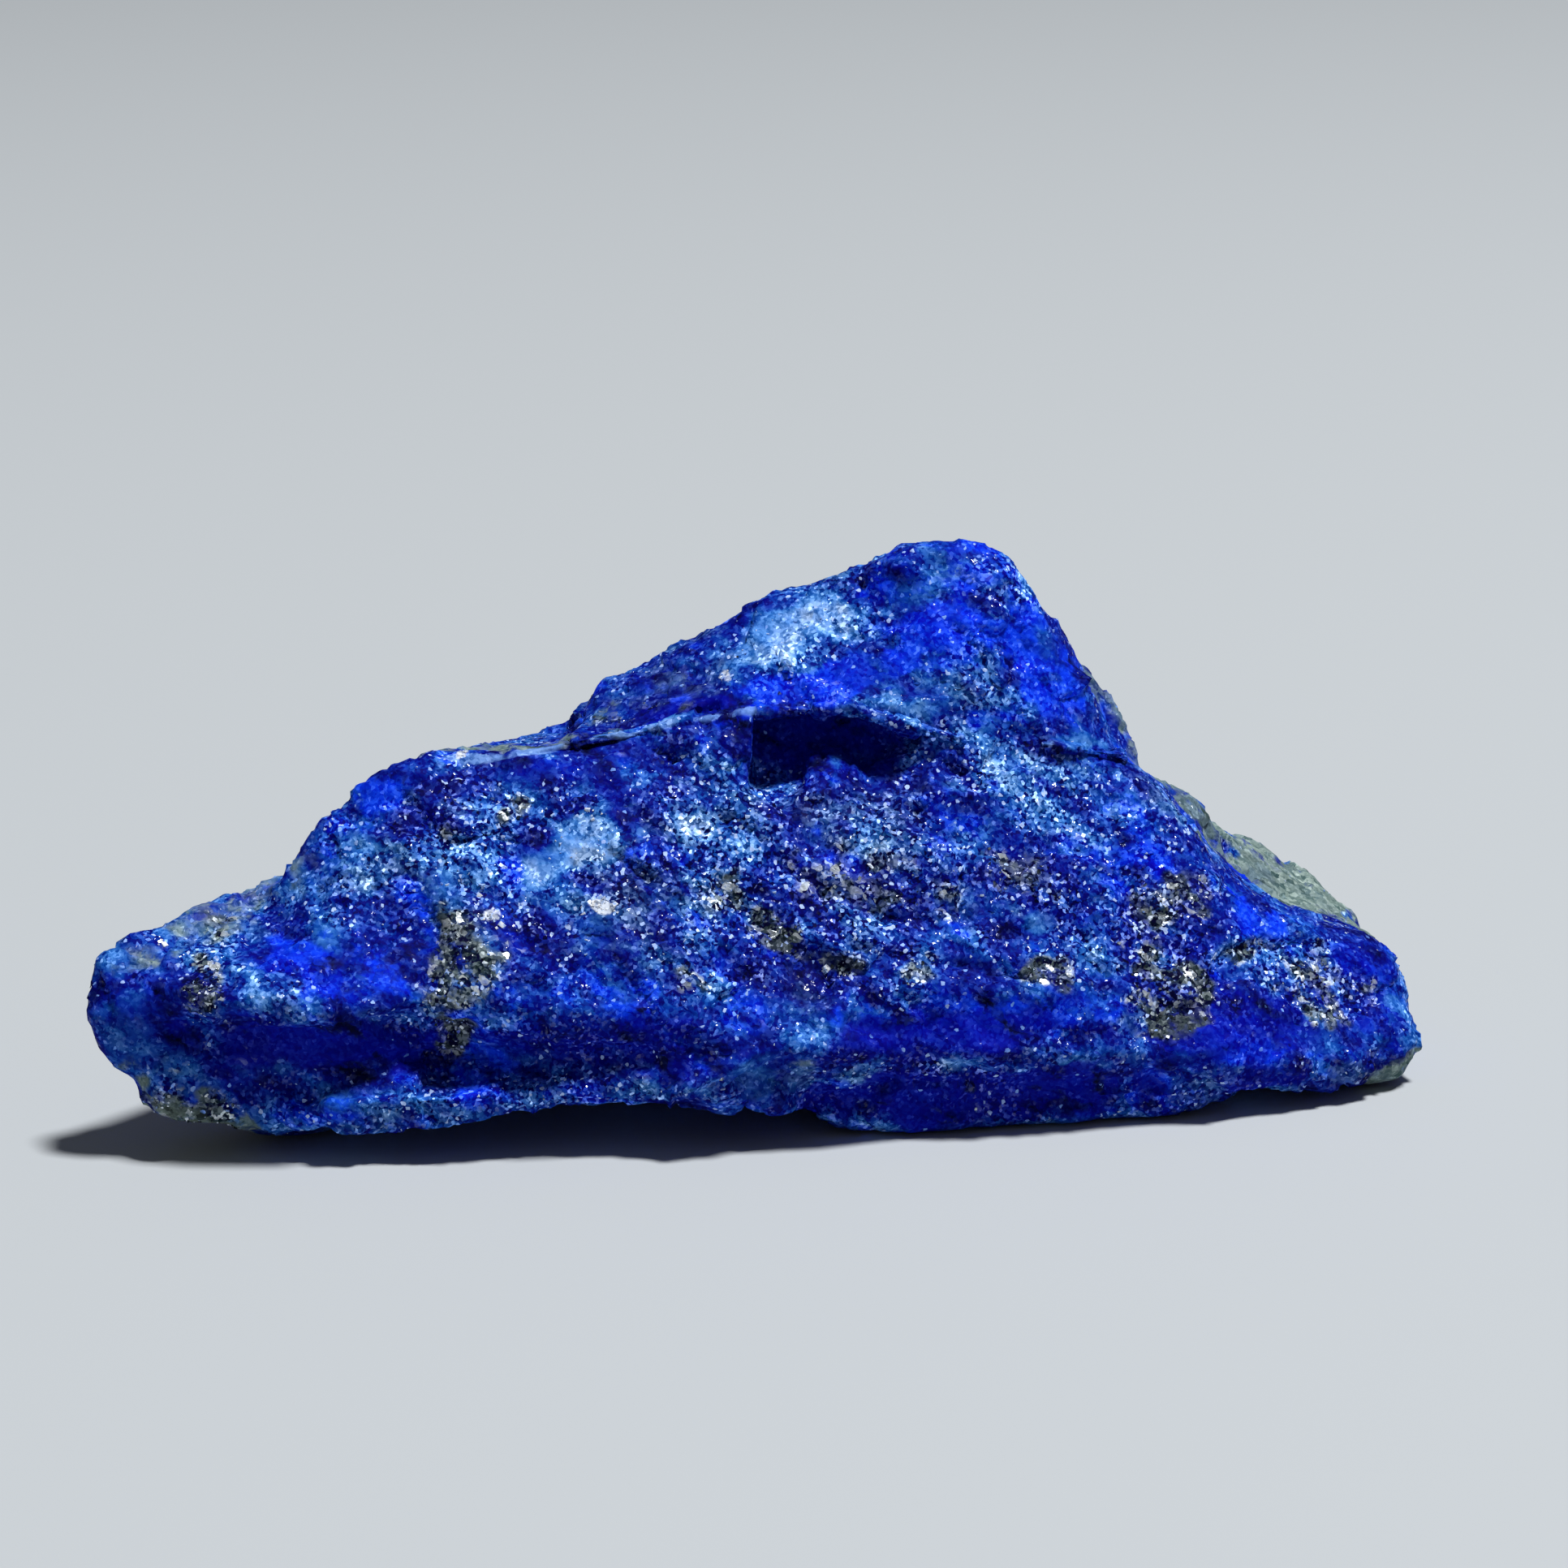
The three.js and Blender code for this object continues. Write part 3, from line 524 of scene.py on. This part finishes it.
def finishMesh(piece):
    bm = bmesh.new()
    bm.from_mesh(piece.data)
    bmesh.ops.scale(bm, vec=(mm, mm, mm), verts=bm.verts)
    bm.to_mesh(piece.data)
    bm.free()
    print(piece.name, "finished:", sum(len(f.vertices) - 2 for f in piece.data.polygons), "triangles")


def toLinear(hexColour):
    # sRGB to linear, by the standard curve
    parts = [int(hexColour[i:i + 2], 16) / 255 for i in (1, 3, 5)]
    return [c / 12.92 if c <= 0.04045 else ((c + 0.055) / 1.055) ** 2.4 for c in parts] + [1.0]


def addNode(tree, kind, fields=None, inputs=None):
    # an input takes a number, a hex colour, or the output that feeds it
    node = tree.nodes.new(kind)
    for name, value in (fields or {}).items():
        setattr(node, name, value)
    for name, value in (inputs or {}).items():
        if isinstance(value, bpy.types.NodeSocket):
            tree.links.new(value, node.inputs[name])
        else:
            node.inputs[name].default_value = toLinear(value) if isinstance(value, str) else value
    return node


def addMeasures(tree, values, measures):
    # A measure is its start and the values that it adds up, each by its weight. It may then be
    # multiplied by another value, eased into 0 to 1 between two levels, and held to the most it may be.
    for name, recipe in measures.items():
        total = recipe.get("start", 0.0)
        for source, weight in recipe["adds"].items():
            total = addNode(tree, "ShaderNodeMath", {"operation": "MULTIPLY_ADD"},
                            {0: values[source], 1: weight, 2: total}).outputs[0]
        if "times" in recipe:
            total = addNode(tree, "ShaderNodeMath", {"operation": "MULTIPLY"},
                            {0: values[recipe["times"]], 1: total}).outputs[0]
        if "between" in recipe:
            low, high = recipe["between"]
            total = addNode(tree, "ShaderNodeMapRange", {"interpolation_type": "SMOOTHSTEP"},
                            {0: total, 1: low, 2: high}).outputs[0]
        if "most" in recipe:
            most = values.get(recipe["most"], recipe["most"])  # a value's name, or a number
            total = addNode(tree, "ShaderNodeMath", {"operation": "MULTIPLY"},
                            {0: total, 1: most}).outputs[0]
        values[name] = total


def laidOver(tree, colour, layers):
    # each layer is a share and a colour, over the ones before it
    for share, over in layers:
        mix = addNode(tree, "ShaderNodeMix", {"data_type": "RGBA"}, {0: share, 6: colour, 7: over})
        colour = mix.outputs[2]
    return colour


# Lapis lazuli as it breaks: lazurite with calcite veils, pyrite and grey-green diopside.
# The break is hackly, so the eye sees sugary grains, half dull and half glassy, each its own blue.
# Sizes are in millimetres. The real grains go down to 0.03; the specks are drawn at 0.1, to show.
lapis = {
    "grains": {"coarse": 0.34, "fine": 0.16, "speck": 0.098},
    "cloud": 2.1, "cloudDetail": 3.0,  # slow changes of shade
    "mottle": 0.7, "mottleDetail": 2.5,  # and quicker ones
    "noiseRoughness": 0.55,
    "ruffle": 0.25, "ruffleDetail": 2.0,  # waves that bend every pattern
    "ruffleFar": 0.3,  # and how far
    "layerDip": 31,  # degrees
    "drawnOut": (1.7, 1.3, 1.0),  # how far the patterns are drawn out in the layers
    # from the darkest blue to a veil
    "blues": [(0.0, "#010738"), (0.15, "#010c6c"), (0.3, "#042296"), (0.42, "#0c3da4"),
              (0.55, "#225db8"), (0.7, "#4c88d8"), (0.85, "#7eacf2"), (1.0, "#a8caff")],
    # the inky blue paints shade in the recesses as well as inky rock; the pale edge blue paints a highlight
    # along the crest
    "plain": {"greyBlue": "#406288", "inkyAndShadeBlue": "#010e98", "worn": "#6c94dc", "calcite": "#e4ecfa",
              "glint": "#dce4ea"},
    # which measure leads from the first colour to the second
    "pairs": {"vivid": ("mottle", "#0420e0", "#0e4cff"), "diopside": ("fineBlue", "#4c6460", "#98aaa2"),
              "seam": ("coarseBlue", "#324440", "#6c8390"), "pyrite": ("pyriteShade", "#0a1214", "#697670"),
              # the flakes' pale blue is partly mica and partly painted sparkle
              "flakeSparkle": ("flakeSparkleShade", "#6c9cf4", "#b4ccff")},
    "measures": {
        "tone": {"start": -0.645, "adds": {"clouds": 0.95, "mottle": 0.95, "coarseRed": 0.15,
                                           "veil": 0.4, "darkRockAndShade": -0.25}},
        "torn": {"start": -1.47, "adds": {"mottle": 2.4, "coarseGreen": 0.35, "fineGreen": 0.2}},
        # where each colour shows
        "inVivid": {"start": -1.32, "adds": {"bright": 0.9, "cloudsGreen": 2.4, "veil": -0.6, "torn": 0.9},
                    "between": (0.1, 0.8), "most": 0.85},
        "inGrey": {"start": -1.1, "adds": {"cloudsBlue": 2.6, "bright": -1.2, "darkRockAndShade": -0.6, "sugary": 0.15,
                                           "torn": 0.9}, "between": (0.2, 1.0), "most": 0.5},
        # where the painted shade and the inky rock show
        "inDarkRockAndShade": {"start": 1.0, "adds": {"torn": 1.2}, "times": "darkRockAndShade", "between": (0.12, 0.8),
                   "most": 0.92},
        "inMatrix": {"start": 1.0, "adds": {"torn": 1.1}, "times": "matrix", "between": (0.15, 0.85),
                     "most": 0.96},
        "inPyrite": {"start": 1.0, "adds": {"torn": 1.7}, "times": "pyrite", "between": (0.12, 1.0),
                     "most": 0.92},
        "inCrestHighlight": {"start": 1.0, "adds": {"torn": 1.2}, "times": "worn", "between": (0.3, 0.9), "most": 0.85},
        "inCalcite": {"start": 1.0, "adds": {"torn": 1.6}, "times": "calcite", "between": (0.3, 0.8),
                      "most": 0.9},
        "inSeam": {"adds": {"cloudsGreen": 1.0}, "between": (0.42, 0.62)},
        "pyriteShade": {"adds": {"fineBlue": 1.0}, "between": (-0.15, 1.35)},
        # some of the break is gritty and some is smooth
        "grit": {"start": -0.3, "adds": {"cloudsRed": 1.8, "sugary": 0.8, "bright": -0.45, "darkRockAndShade": -0.5,
                                         "matrix": -1.1, "veil": -0.4, "pyrite": 0.4},
                 "between": (-0.2, 1.6)},
        # the grains are sugary: each is painted a little whiter or darker, partly its own tone and partly
        # painted light and shade on its facets, and the sparkling ones a painted sparkle; more so in gritty
        # and pale rock
        "sparkle": {"adds": {"speckBlue": 1.0}, "between": (0.84, 1.0)},
        "grainToneAndSparkle": {"start": -3.15, "adds": {"fineRed": 2.4, "speckRed": 3.1, "sparkle": 3.6}},
        "gritDepth": {"start": 0.045, "adds": {"tone": 0.2}, "times": "grit"},
        "grainLift": {"start": 0.03, "adds": {"gritDepth": 1.0}, "times": "grainToneAndSparkle"},
        # pale flakes, partly mica and partly painted sparkle, and the bright planes of pyrite
        "flakySparkle": {"adds": {"speckGreen": 1.0, "grit": 0.03}, "between": (0.996, 1.002)},
        "flakeSparkleShade": {"adds": {"grit": 1.0}, "between": (0.0, 0.6)},
        "glinting": {"adds": {"fineRed": 1.0}, "between": (0.9, 0.93), "most": "inPyrite"},
        "metal": {"adds": {"glinting": 0.9}},
        "rough": {"start": 0.6, "adds": {"fineGreen": 0.3, "metal": -0.5}},
        # single glassy grains, in the gritty break only
        "gritty": {"adds": {"grit": 1.0}, "between": (0.05, 0.45)},
        "glassy": {"adds": {"speckRed": 1.0}, "between": (0.86, 0.88), "most": "gritty"},
        # each grain leans its own way
        "height": {"adds": {"coarseLean": 0.55, "fineLean": 1.2, "speckLean": 0.5}},
        "bump": {"start": 0.12, "adds": {"grit": 0.3}},
        "glassyBump": {"start": 0.3, "adds": {"grit": 0.7}},
    },
    # the colours that lie over the blue, from the first to the last, and where each shows
    "layers": [("inGrey", "greyBlue"), ("inVivid", "vivid"), ("inDarkRockAndShade", "inkyAndShadeBlue"), ("inMatrix", "matrix"),
               ("inPyrite", "pyrite"), ("inCrestHighlight", "worn"), ("inCalcite", "calcite")],
    "topLayers": [("flakySparkle", "flakeSparkle"), ("glinting", "glint")],
    "gamma": 2.2,  # grains lighten and darken as the eye sees them
    "darkest": (0.0, 0.012, 0.18),  # no grain gets darker than this
    "specular": 0.05,  # a hackly break scatters its gloss
    "coatRoughness": 0.16,  # only the glassy grains keep it
}


def addGrains(tree, values, name, where):
    # one cell for each grain, with its own three numbers and its own lean
    cells = addNode(tree, "ShaderNodeTexVoronoi", None, {"Vector": where, "Scale": 1 / lapis["grains"][name]})
    parts = addNode(tree, "ShaderNodeSeparateColor", None, {"Color": cells.outputs["Color"]})
    spin = addNode(tree, "ShaderNodeVectorMath", {"operation": "SUBTRACT"},
                   {0: cells.outputs["Color"], 1: half})
    off = addNode(tree, "ShaderNodeVectorMath", {"operation": "SUBTRACT"},
                  {0: where, 1: cells.outputs["Position"]})
    lean = addNode(tree, "ShaderNodeVectorMath", {"operation": "DOT_PRODUCT"},
                   {0: spin.outputs[0], 1: off.outputs[0]})
    values[name + "Lean"] = lean.outputs["Value"]
    for channel in ("Red", "Green", "Blue"):
        values[name + channel] = parts.outputs[channel]


def lapisMaterial():
    material = bpy.data.materials.new("lapisBrokenFace")
    material.use_nodes = True
    tree = material.node_tree
    tree.nodes.clear()
    place = addNode(tree, "ShaderNodeTexCoord")
    metric = addNode(tree, "ShaderNodeVectorMath", {"operation": "SCALE"},
                     {0: place.outputs["Object"], "Scale": perMetre}).outputs[0]
    ruffle = addNode(tree, "ShaderNodeTexNoise", None,
                     {"Vector": metric, "Scale": 1 / lapis["ruffle"], "Detail": lapis["ruffleDetail"]})
    centred = addNode(tree, "ShaderNodeVectorMath", {"operation": "SUBTRACT"},
                      {0: ruffle.outputs["Color"], 1: half})
    grown = addNode(tree, "ShaderNodeVectorMath", {"operation": "SCALE"},
                    {0: centred.outputs[0], "Scale": lapis["ruffleFar"]})
    bent = addNode(tree, "ShaderNodeVectorMath", {"operation": "ADD"}, {0: metric, 1: grown.outputs[0]})
    layered = addNode(tree, "ShaderNodeMapping", {"vector_type": "TEXTURE"},
                      {"Vector": bent.outputs[0], "Rotation": (0.0, radians(lapis["layerDip"]), 0.0),
                       "Scale": lapis["drawnOut"]}).outputs[0]
    clouds = addNode(tree, "ShaderNodeTexNoise", None,
                     {"Vector": layered, "Scale": 1 / lapis["cloud"], "Detail": lapis["cloudDetail"],
                      "Roughness": lapis["noiseRoughness"]})
    shades = addNode(tree, "ShaderNodeSeparateColor", None, {"Color": clouds.outputs["Color"]})
    mottle = addNode(tree, "ShaderNodeTexNoise", None,
                     {"Vector": layered, "Scale": 1 / lapis["mottle"], "Detail": lapis["mottleDetail"],
                      "Roughness": lapis["noiseRoughness"]})

    # everything that a measure may add up, by name
    values = {"clouds": clouds.outputs["Fac"], "mottle": mottle.outputs["Fac"]}
    for channel in ("Red", "Green", "Blue"):
        values["clouds" + channel] = shades.outputs[channel]
    for name, where in (("coarse", layered), ("fine", layered), ("speck", metric)):
        addGrains(tree, values, name, where)
    for kind in patches:
        values[kind] = addNode(tree, "ShaderNodeAttribute", {"attribute_name": kind}).outputs["Fac"]
    addMeasures(tree, values, lapis["measures"])

    blue = addNode(tree, "ShaderNodeValToRGB", None, {"Fac": values["tone"]})
    stops = blue.color_ramp.elements
    while len(stops) < len(lapis["blues"]):
        stops.new(0.5)
    for stop, (position, colour) in zip(stops, lapis["blues"]):
        stop.position = position
        stop.color = toLinear(colour)
    colours = dict(lapis["plain"])
    for name, (share, first, second) in lapis["pairs"].items():
        colours[name] = laidOver(tree, first, [(values[share], second)])
    colours["matrix"] = laidOver(tree, colours["diopside"], [(values["inSeam"], colours["seam"])])
    colour = laidOver(tree, blue.outputs["Color"],
                      [(values[share], colours[name]) for share, name in lapis["layers"]])

    # the grains' own tone, their painted light and shade and their painted sparkle are added in the eye's
    # terms
    seen = addNode(tree, "ShaderNodeGamma", None, {"Color": colour, "Gamma": 1 / lapis["gamma"]})
    lifted = addNode(tree, "ShaderNodeVectorMath", {"operation": "ADD"},
                     {0: seen.outputs[0], 1: values["grainLift"]})
    kept = addNode(tree, "ShaderNodeVectorMath", {"operation": "MAXIMUM"},
                   {0: lifted.outputs[0], 1: lapis["darkest"]})
    grainy = addNode(tree, "ShaderNodeGamma", None, {"Color": kept.outputs[0], "Gamma": lapis["gamma"]})
    colour = laidOver(tree, grainy.outputs[0],
                      [(values[share], colours[name]) for share, name in lapis["topLayers"]])

    normals = {}
    for name in ("bump", "glassyBump"):
        bump = addNode(tree, "ShaderNodeBump", None,
                       {"Height": values["height"], "Strength": values[name], "Distance": mm})
        normals[name] = bump.outputs["Normal"]
    shader = addNode(tree, "ShaderNodeBsdfPrincipled", None,
                     {"Base Color": colour, "Roughness": values["rough"], "Metallic": values["metal"],
                      "Specular IOR Level": lapis["specular"], "Normal": normals["bump"],
                      "Coat Weight": values["glassy"], "Coat Roughness": lapis["coatRoughness"],
                      "Coat Normal": normals["glassyBump"]})
    addNode(tree, "ShaderNodeOutputMaterial", None, {"Surface": shader.outputs["BSDF"]})
    print("lapis material made:", len(tree.nodes), "nodes")
    return material


lapisSkin = lapisMaterial()
for piece in (lapisStone, crestLedges):
    markPatches(piece)
    finishMesh(piece)
    piece.data.materials.append(lapisSkin)
    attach(piece, "root")
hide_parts("lapis_stone")

# Crystals that stand on the break, from the least to the most across in millimetres. The scattered
# ones like some patches and shun others; the nests are where they lie, how wide, and how many.
crystals = {
    "pyriteGrains": {"seed": 11, "least": 0.05, "most": 0.12, "flat": 1.0,
                     "count": 560, "anywhere": 0.0, "likes": {"pyrite": 1.0}},
    "calciteGrains": {"seed": 23, "least": 0.045, "most": 0.12, "flat": 0.45, "count": 1100, "anywhere": 0.05,
                      "likes": {"pyrite": 0.7, "veil": 0.3, "darkRockAndShade": -0.5, "bright": -0.1}},
    # white calcite nests; those on the front's brightest spots partly stand in as painted glints
    "calciteNestsAndGlints": {"seed": 5, "least": 0.07, "most": 0.2, "flat": 0.7, "nests": [
        ((-4.6, -7.0, 7.1), 0.3, 16), ((-4.75, -7.0, 7.25), 0.14, 8), ((-4.35, -7.0, 7.2), 0.1, 5),
        ((-4.5, -7.0, 6.95), 0.1, 4), ((-1.1, -1.6, 12.5), 0.16, 7), ((-8.7, -3.9, 10.8), 0.16, 6),
        ((-17.1, -7.0, 6.0), 0.12, 4), ((-7.6, -7.4, 6.9), 0.25, 8), ((-8.0, -6.9, 7.6), 0.12, 4),
        ((1.8, -6.6, 5.3), 0.15, 5), ((-4.9, -5.3, 9.4), 0.3, 6), ((4.2, 5.6, 6.8), 0.4, 12),
        ((-7.0, 3.6, 5.4), 0.3, 10)]},
}

# How every crystal grows.
growth = {
    "sunk": 0.25,  # how far its middle lies under the surface, as a share of its size
    "mostlySmall": 2.2,  # the higher, the fewer large ones
    "width": (0.7, 1.0),  # as shares of its length
    "thickness": (0.8, 1.2),
    "turn": 6.283,  # radians: it lies any way round
    "keepToPatch": 3,  # the higher, the closer to the middle of a patch
    "nestSpread": 0.6,  # how much of a nest's width the crystals stray
    "clearOfTable": 0.0003,  # metres: none grows where the stone rests
}


def scatteredPlaces(kind, rock, chance):
    mesh = rock.data
    marks = {}
    for liked in kind["likes"]:
        marks[liked] = np.zeros(len(mesh.vertices), np.float32)
        mesh.attributes[liked].data.foreach_get("value", marks[liked])
    weights = []
    for face in mesh.polygons:
        likely = kind["anywhere"] + sum(marks[liked][face.vertices[0]] ** growth["keepToPatch"] * much
                                        for liked, much in kind["likes"].items())
        weights.append(max(likely, 0.0) * face.area if face.center.z > growth["clearOfTable"] else 0.0)
    chosen = chance.choices(range(len(weights)), weights, k=kind["count"])
    return [(mesh.polygons[i].center.copy(), mesh.polygons[i].normal.copy()) for i in chosen]


def nestPlaces(kind, rock, chance):
    surface = BVHTree.FromObject(rock, bpy.context.evaluated_depsgraph_get())
    places = []
    for centre, wide, count in kind["nests"]:
        for _ in range(count):
            off = Vector([chance.gauss(0, wide * growth["nestSpread"]) for _ in range(3)])
            places.append(surface.find_nearest((Vector(centre) + off) * mm)[:2])
    return places


def growCrystals(name, rock, material):
    # small broken crystals, each partly sunk in the rock
    kind = crystals[name]
    chance = random.Random(kind["seed"])
    findPlaces = nestPlaces if "nests" in kind else scatteredPlaces
    places = findPlaces(kind, rock, chance)
    bm = bmesh.new()
    for at, normal in places:
        larger = chance.random() ** growth["mostlySmall"]
        size = (kind["least"] + (kind["most"] - kind["least"]) * larger) * mm
        angle = chance.uniform(0, growth["turn"])
        axis = Vector([chance.gauss(0, 1) for _ in range(3)]).normalized()
        width = size * chance.uniform(*growth["width"])
        thickness = size * kind["flat"] * chance.uniform(*growth["thickness"])
        seat = Matrix.Translation(at - normal * size * growth["sunk"])
        turn = Matrix.Rotation(angle, 4, axis)
        bmesh.ops.create_cube(bm, size=1.0, matrix=seat @ turn @ Matrix.Diagonal((size, width, thickness, 1)))
    mesh = bpy.data.meshes.new(name)
    bm.to_mesh(mesh)
    bm.free()
    mesh.materials.append(material)
    piece = newPiece(name, mesh)
    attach(piece, "root")
    print("crystals grown:", name, len(places))


# Pyrite as it grows in lapis: small tarnished cubes of steel grey, near neutral beside the blue.
# They are metal with plane faces, so that a few of them flash.
pyrite = {
    "tarnish": "#525e6c", "clean": "#ccd4de",
    "tarnishWidth": 0.25,  # millimetres
    "detail": 2.0,
    "metallic": 1.0,
    "measures": {
        "shade": {"adds": {"tarnish": 1.0}, "between": (0.35, 0.7)},
        "rough": {"start": 0.1, "adds": {"tarnish": 0.3}},
    },
}


def pyriteMaterial():
    material = bpy.data.materials.new("pyriteCrystal")
    material.use_nodes = True
    tree = material.node_tree
    shader = tree.nodes["Principled BSDF"]
    place = addNode(tree, "ShaderNodeTexCoord")
    tarnish = addNode(tree, "ShaderNodeTexNoise", None,
                      {"Vector": place.outputs["Object"], "Scale": perMetre / pyrite["tarnishWidth"],
                       "Detail": pyrite["detail"]})
    values = {"tarnish": tarnish.outputs["Fac"]}
    addMeasures(tree, values, pyrite["measures"])
    colour = laidOver(tree, pyrite["tarnish"], [(values["shade"], pyrite["clean"])])
    tree.links.new(colour, shader.inputs["Base Color"])
    tree.links.new(values["rough"], shader.inputs["Roughness"])
    shader.inputs["Metallic"].default_value = pyrite["metallic"]
    return material


# Calcite as it cleaves: clear faces that glint. The light spreads inside it, so that it looks milky,
# and small grains of it take up the blue around them.
calcite = {
    "small": ("calciteBlueCleavage", "#5c86e0", "#c8dcff"),
    # the nests' near white is partly a painted glint
    "nest": ("calciteCleavage", "#90b0f0", "#fafcff"),
    "cloudWidth": 0.2,  # millimetres
    "detail": 2.0,
    "roughness": 0.12,
    "milky": 0.7,
    "lightReach": 0.1,  # millimetres
    "measures": {"shade": {"adds": {"cloud": 1.0}, "between": (0.35, 0.65)}},
}


def calciteMaterial(name, dull, clear):
    material = bpy.data.materials.new(name)
    material.use_nodes = True
    tree = material.node_tree
    shader = tree.nodes["Principled BSDF"]
    place = addNode(tree, "ShaderNodeTexCoord")
    cloud = addNode(tree, "ShaderNodeTexNoise", None,
                    {"Vector": place.outputs["Object"], "Scale": perMetre / calcite["cloudWidth"],
                     "Detail": calcite["detail"]})
    values = {"cloud": cloud.outputs["Fac"]}
    addMeasures(tree, values, calcite["measures"])
    tree.links.new(laidOver(tree, dull, [(values["shade"], clear)]), shader.inputs["Base Color"])
    shader.inputs["Roughness"].default_value = calcite["roughness"]
    shader.inputs["Subsurface Weight"].default_value = calcite["milky"]
    shader.inputs["Subsurface Radius"].default_value = (1.0, 1.0, 1.0)  # every colour as far
    shader.inputs["Subsurface Scale"].default_value = calcite["lightReach"] * mm
    return material


growCrystals("pyriteGrains", lapisStone, pyriteMaterial())
growCrystals("calciteGrains", lapisStone, calciteMaterial(*calcite["small"]))
growCrystals("calciteNestsAndGlints", lapisStone, calciteMaterial(*calcite["nest"]))

# Floor, light and camera, in metres and watts, with the camera's place, aim and lens in millimetres.
studio = {
    "floorHalf": 3.0,
    "floorDrop": 0.00001,  # just clear of the stone's flat foot
    "floorColour": "#b4b9bd",
    "floorRoughness": 0.85,
    "keyFrom": (0.28, -0.12, 0.95),  # high and a little to the right
    "keyAim": (0, 0, 0.006),
    "keyAway": 0.9,
    "keyWidth": 0.16,
    "keyPower": 10.6,
    "roomColour": "#e6ebf0",
    "roomStrength": 0.11,
    "cameraAt": (0.58, -143.62, 47.32),
    "cameraAim": (0.58, 1.265, 8.5),
    "lens": 115.295,
    "sensor": 36,
    "nearest": 0.005,
}


def makeFloor():
    mesh = bpy.data.meshes.new("floor")
    bm = bmesh.new()
    bmesh.ops.create_grid(bm, x_segments=1, y_segments=1, size=studio["floorHalf"])
    bmesh.ops.translate(bm, vec=(0, 0, -studio["floorDrop"]), verts=bm.verts)
    bm.to_mesh(mesh)
    bm.free()
    floor = newPiece("floor", mesh)
    # pale uncoated card: matt and even, so that it gives a soft shadow and no reflection
    material = bpy.data.materials.new("paleBoard")
    material.use_nodes = True
    board = material.node_tree.nodes["Principled BSDF"]
    board.inputs["Base Color"].default_value = toLinear(studio["floorColour"])
    board.inputs["Roughness"].default_value = studio["floorRoughness"]
    mesh.materials.append(material)


def aimAt(obj, at, aim):
    obj.location = at
    obj.rotation_euler = (Vector(aim) - Vector(at)).to_track_quat("-Z", "Y").to_euler()


def makeStudio():
    makeFloor()
    lamp = bpy.data.lights.new("key", "AREA")
    lamp.shape = "DISK"
    lamp.size = studio["keyWidth"]
    lamp.energy = studio["keyPower"]
    key = newPiece("key", lamp)
    aim = Vector(studio["keyAim"])
    aimAt(key, aim + Vector(studio["keyFrom"]).normalized() * studio["keyAway"], aim)
    world = bpy.data.worlds.new("room")
    world.use_nodes = True
    room = world.node_tree.nodes["Background"]
    room.inputs["Color"].default_value = toLinear(studio["roomColour"])
    room.inputs["Strength"].default_value = studio["roomStrength"]
    bpy.context.scene.world = world
    lens = bpy.data.cameras.new("camera")
    lens.lens = studio["lens"]
    lens.sensor_width = studio["sensor"]
    lens.clip_start = studio["nearest"]
    camera = newPiece("camera", lens)
    aimAt(camera, Vector(studio["cameraAt"]) * mm, Vector(studio["cameraAim"]) * mm)
    bpy.context.scene.camera = camera
    bpy.context.scene.view_settings.view_transform = "Standard"


makeStudio()
print("studio ready")
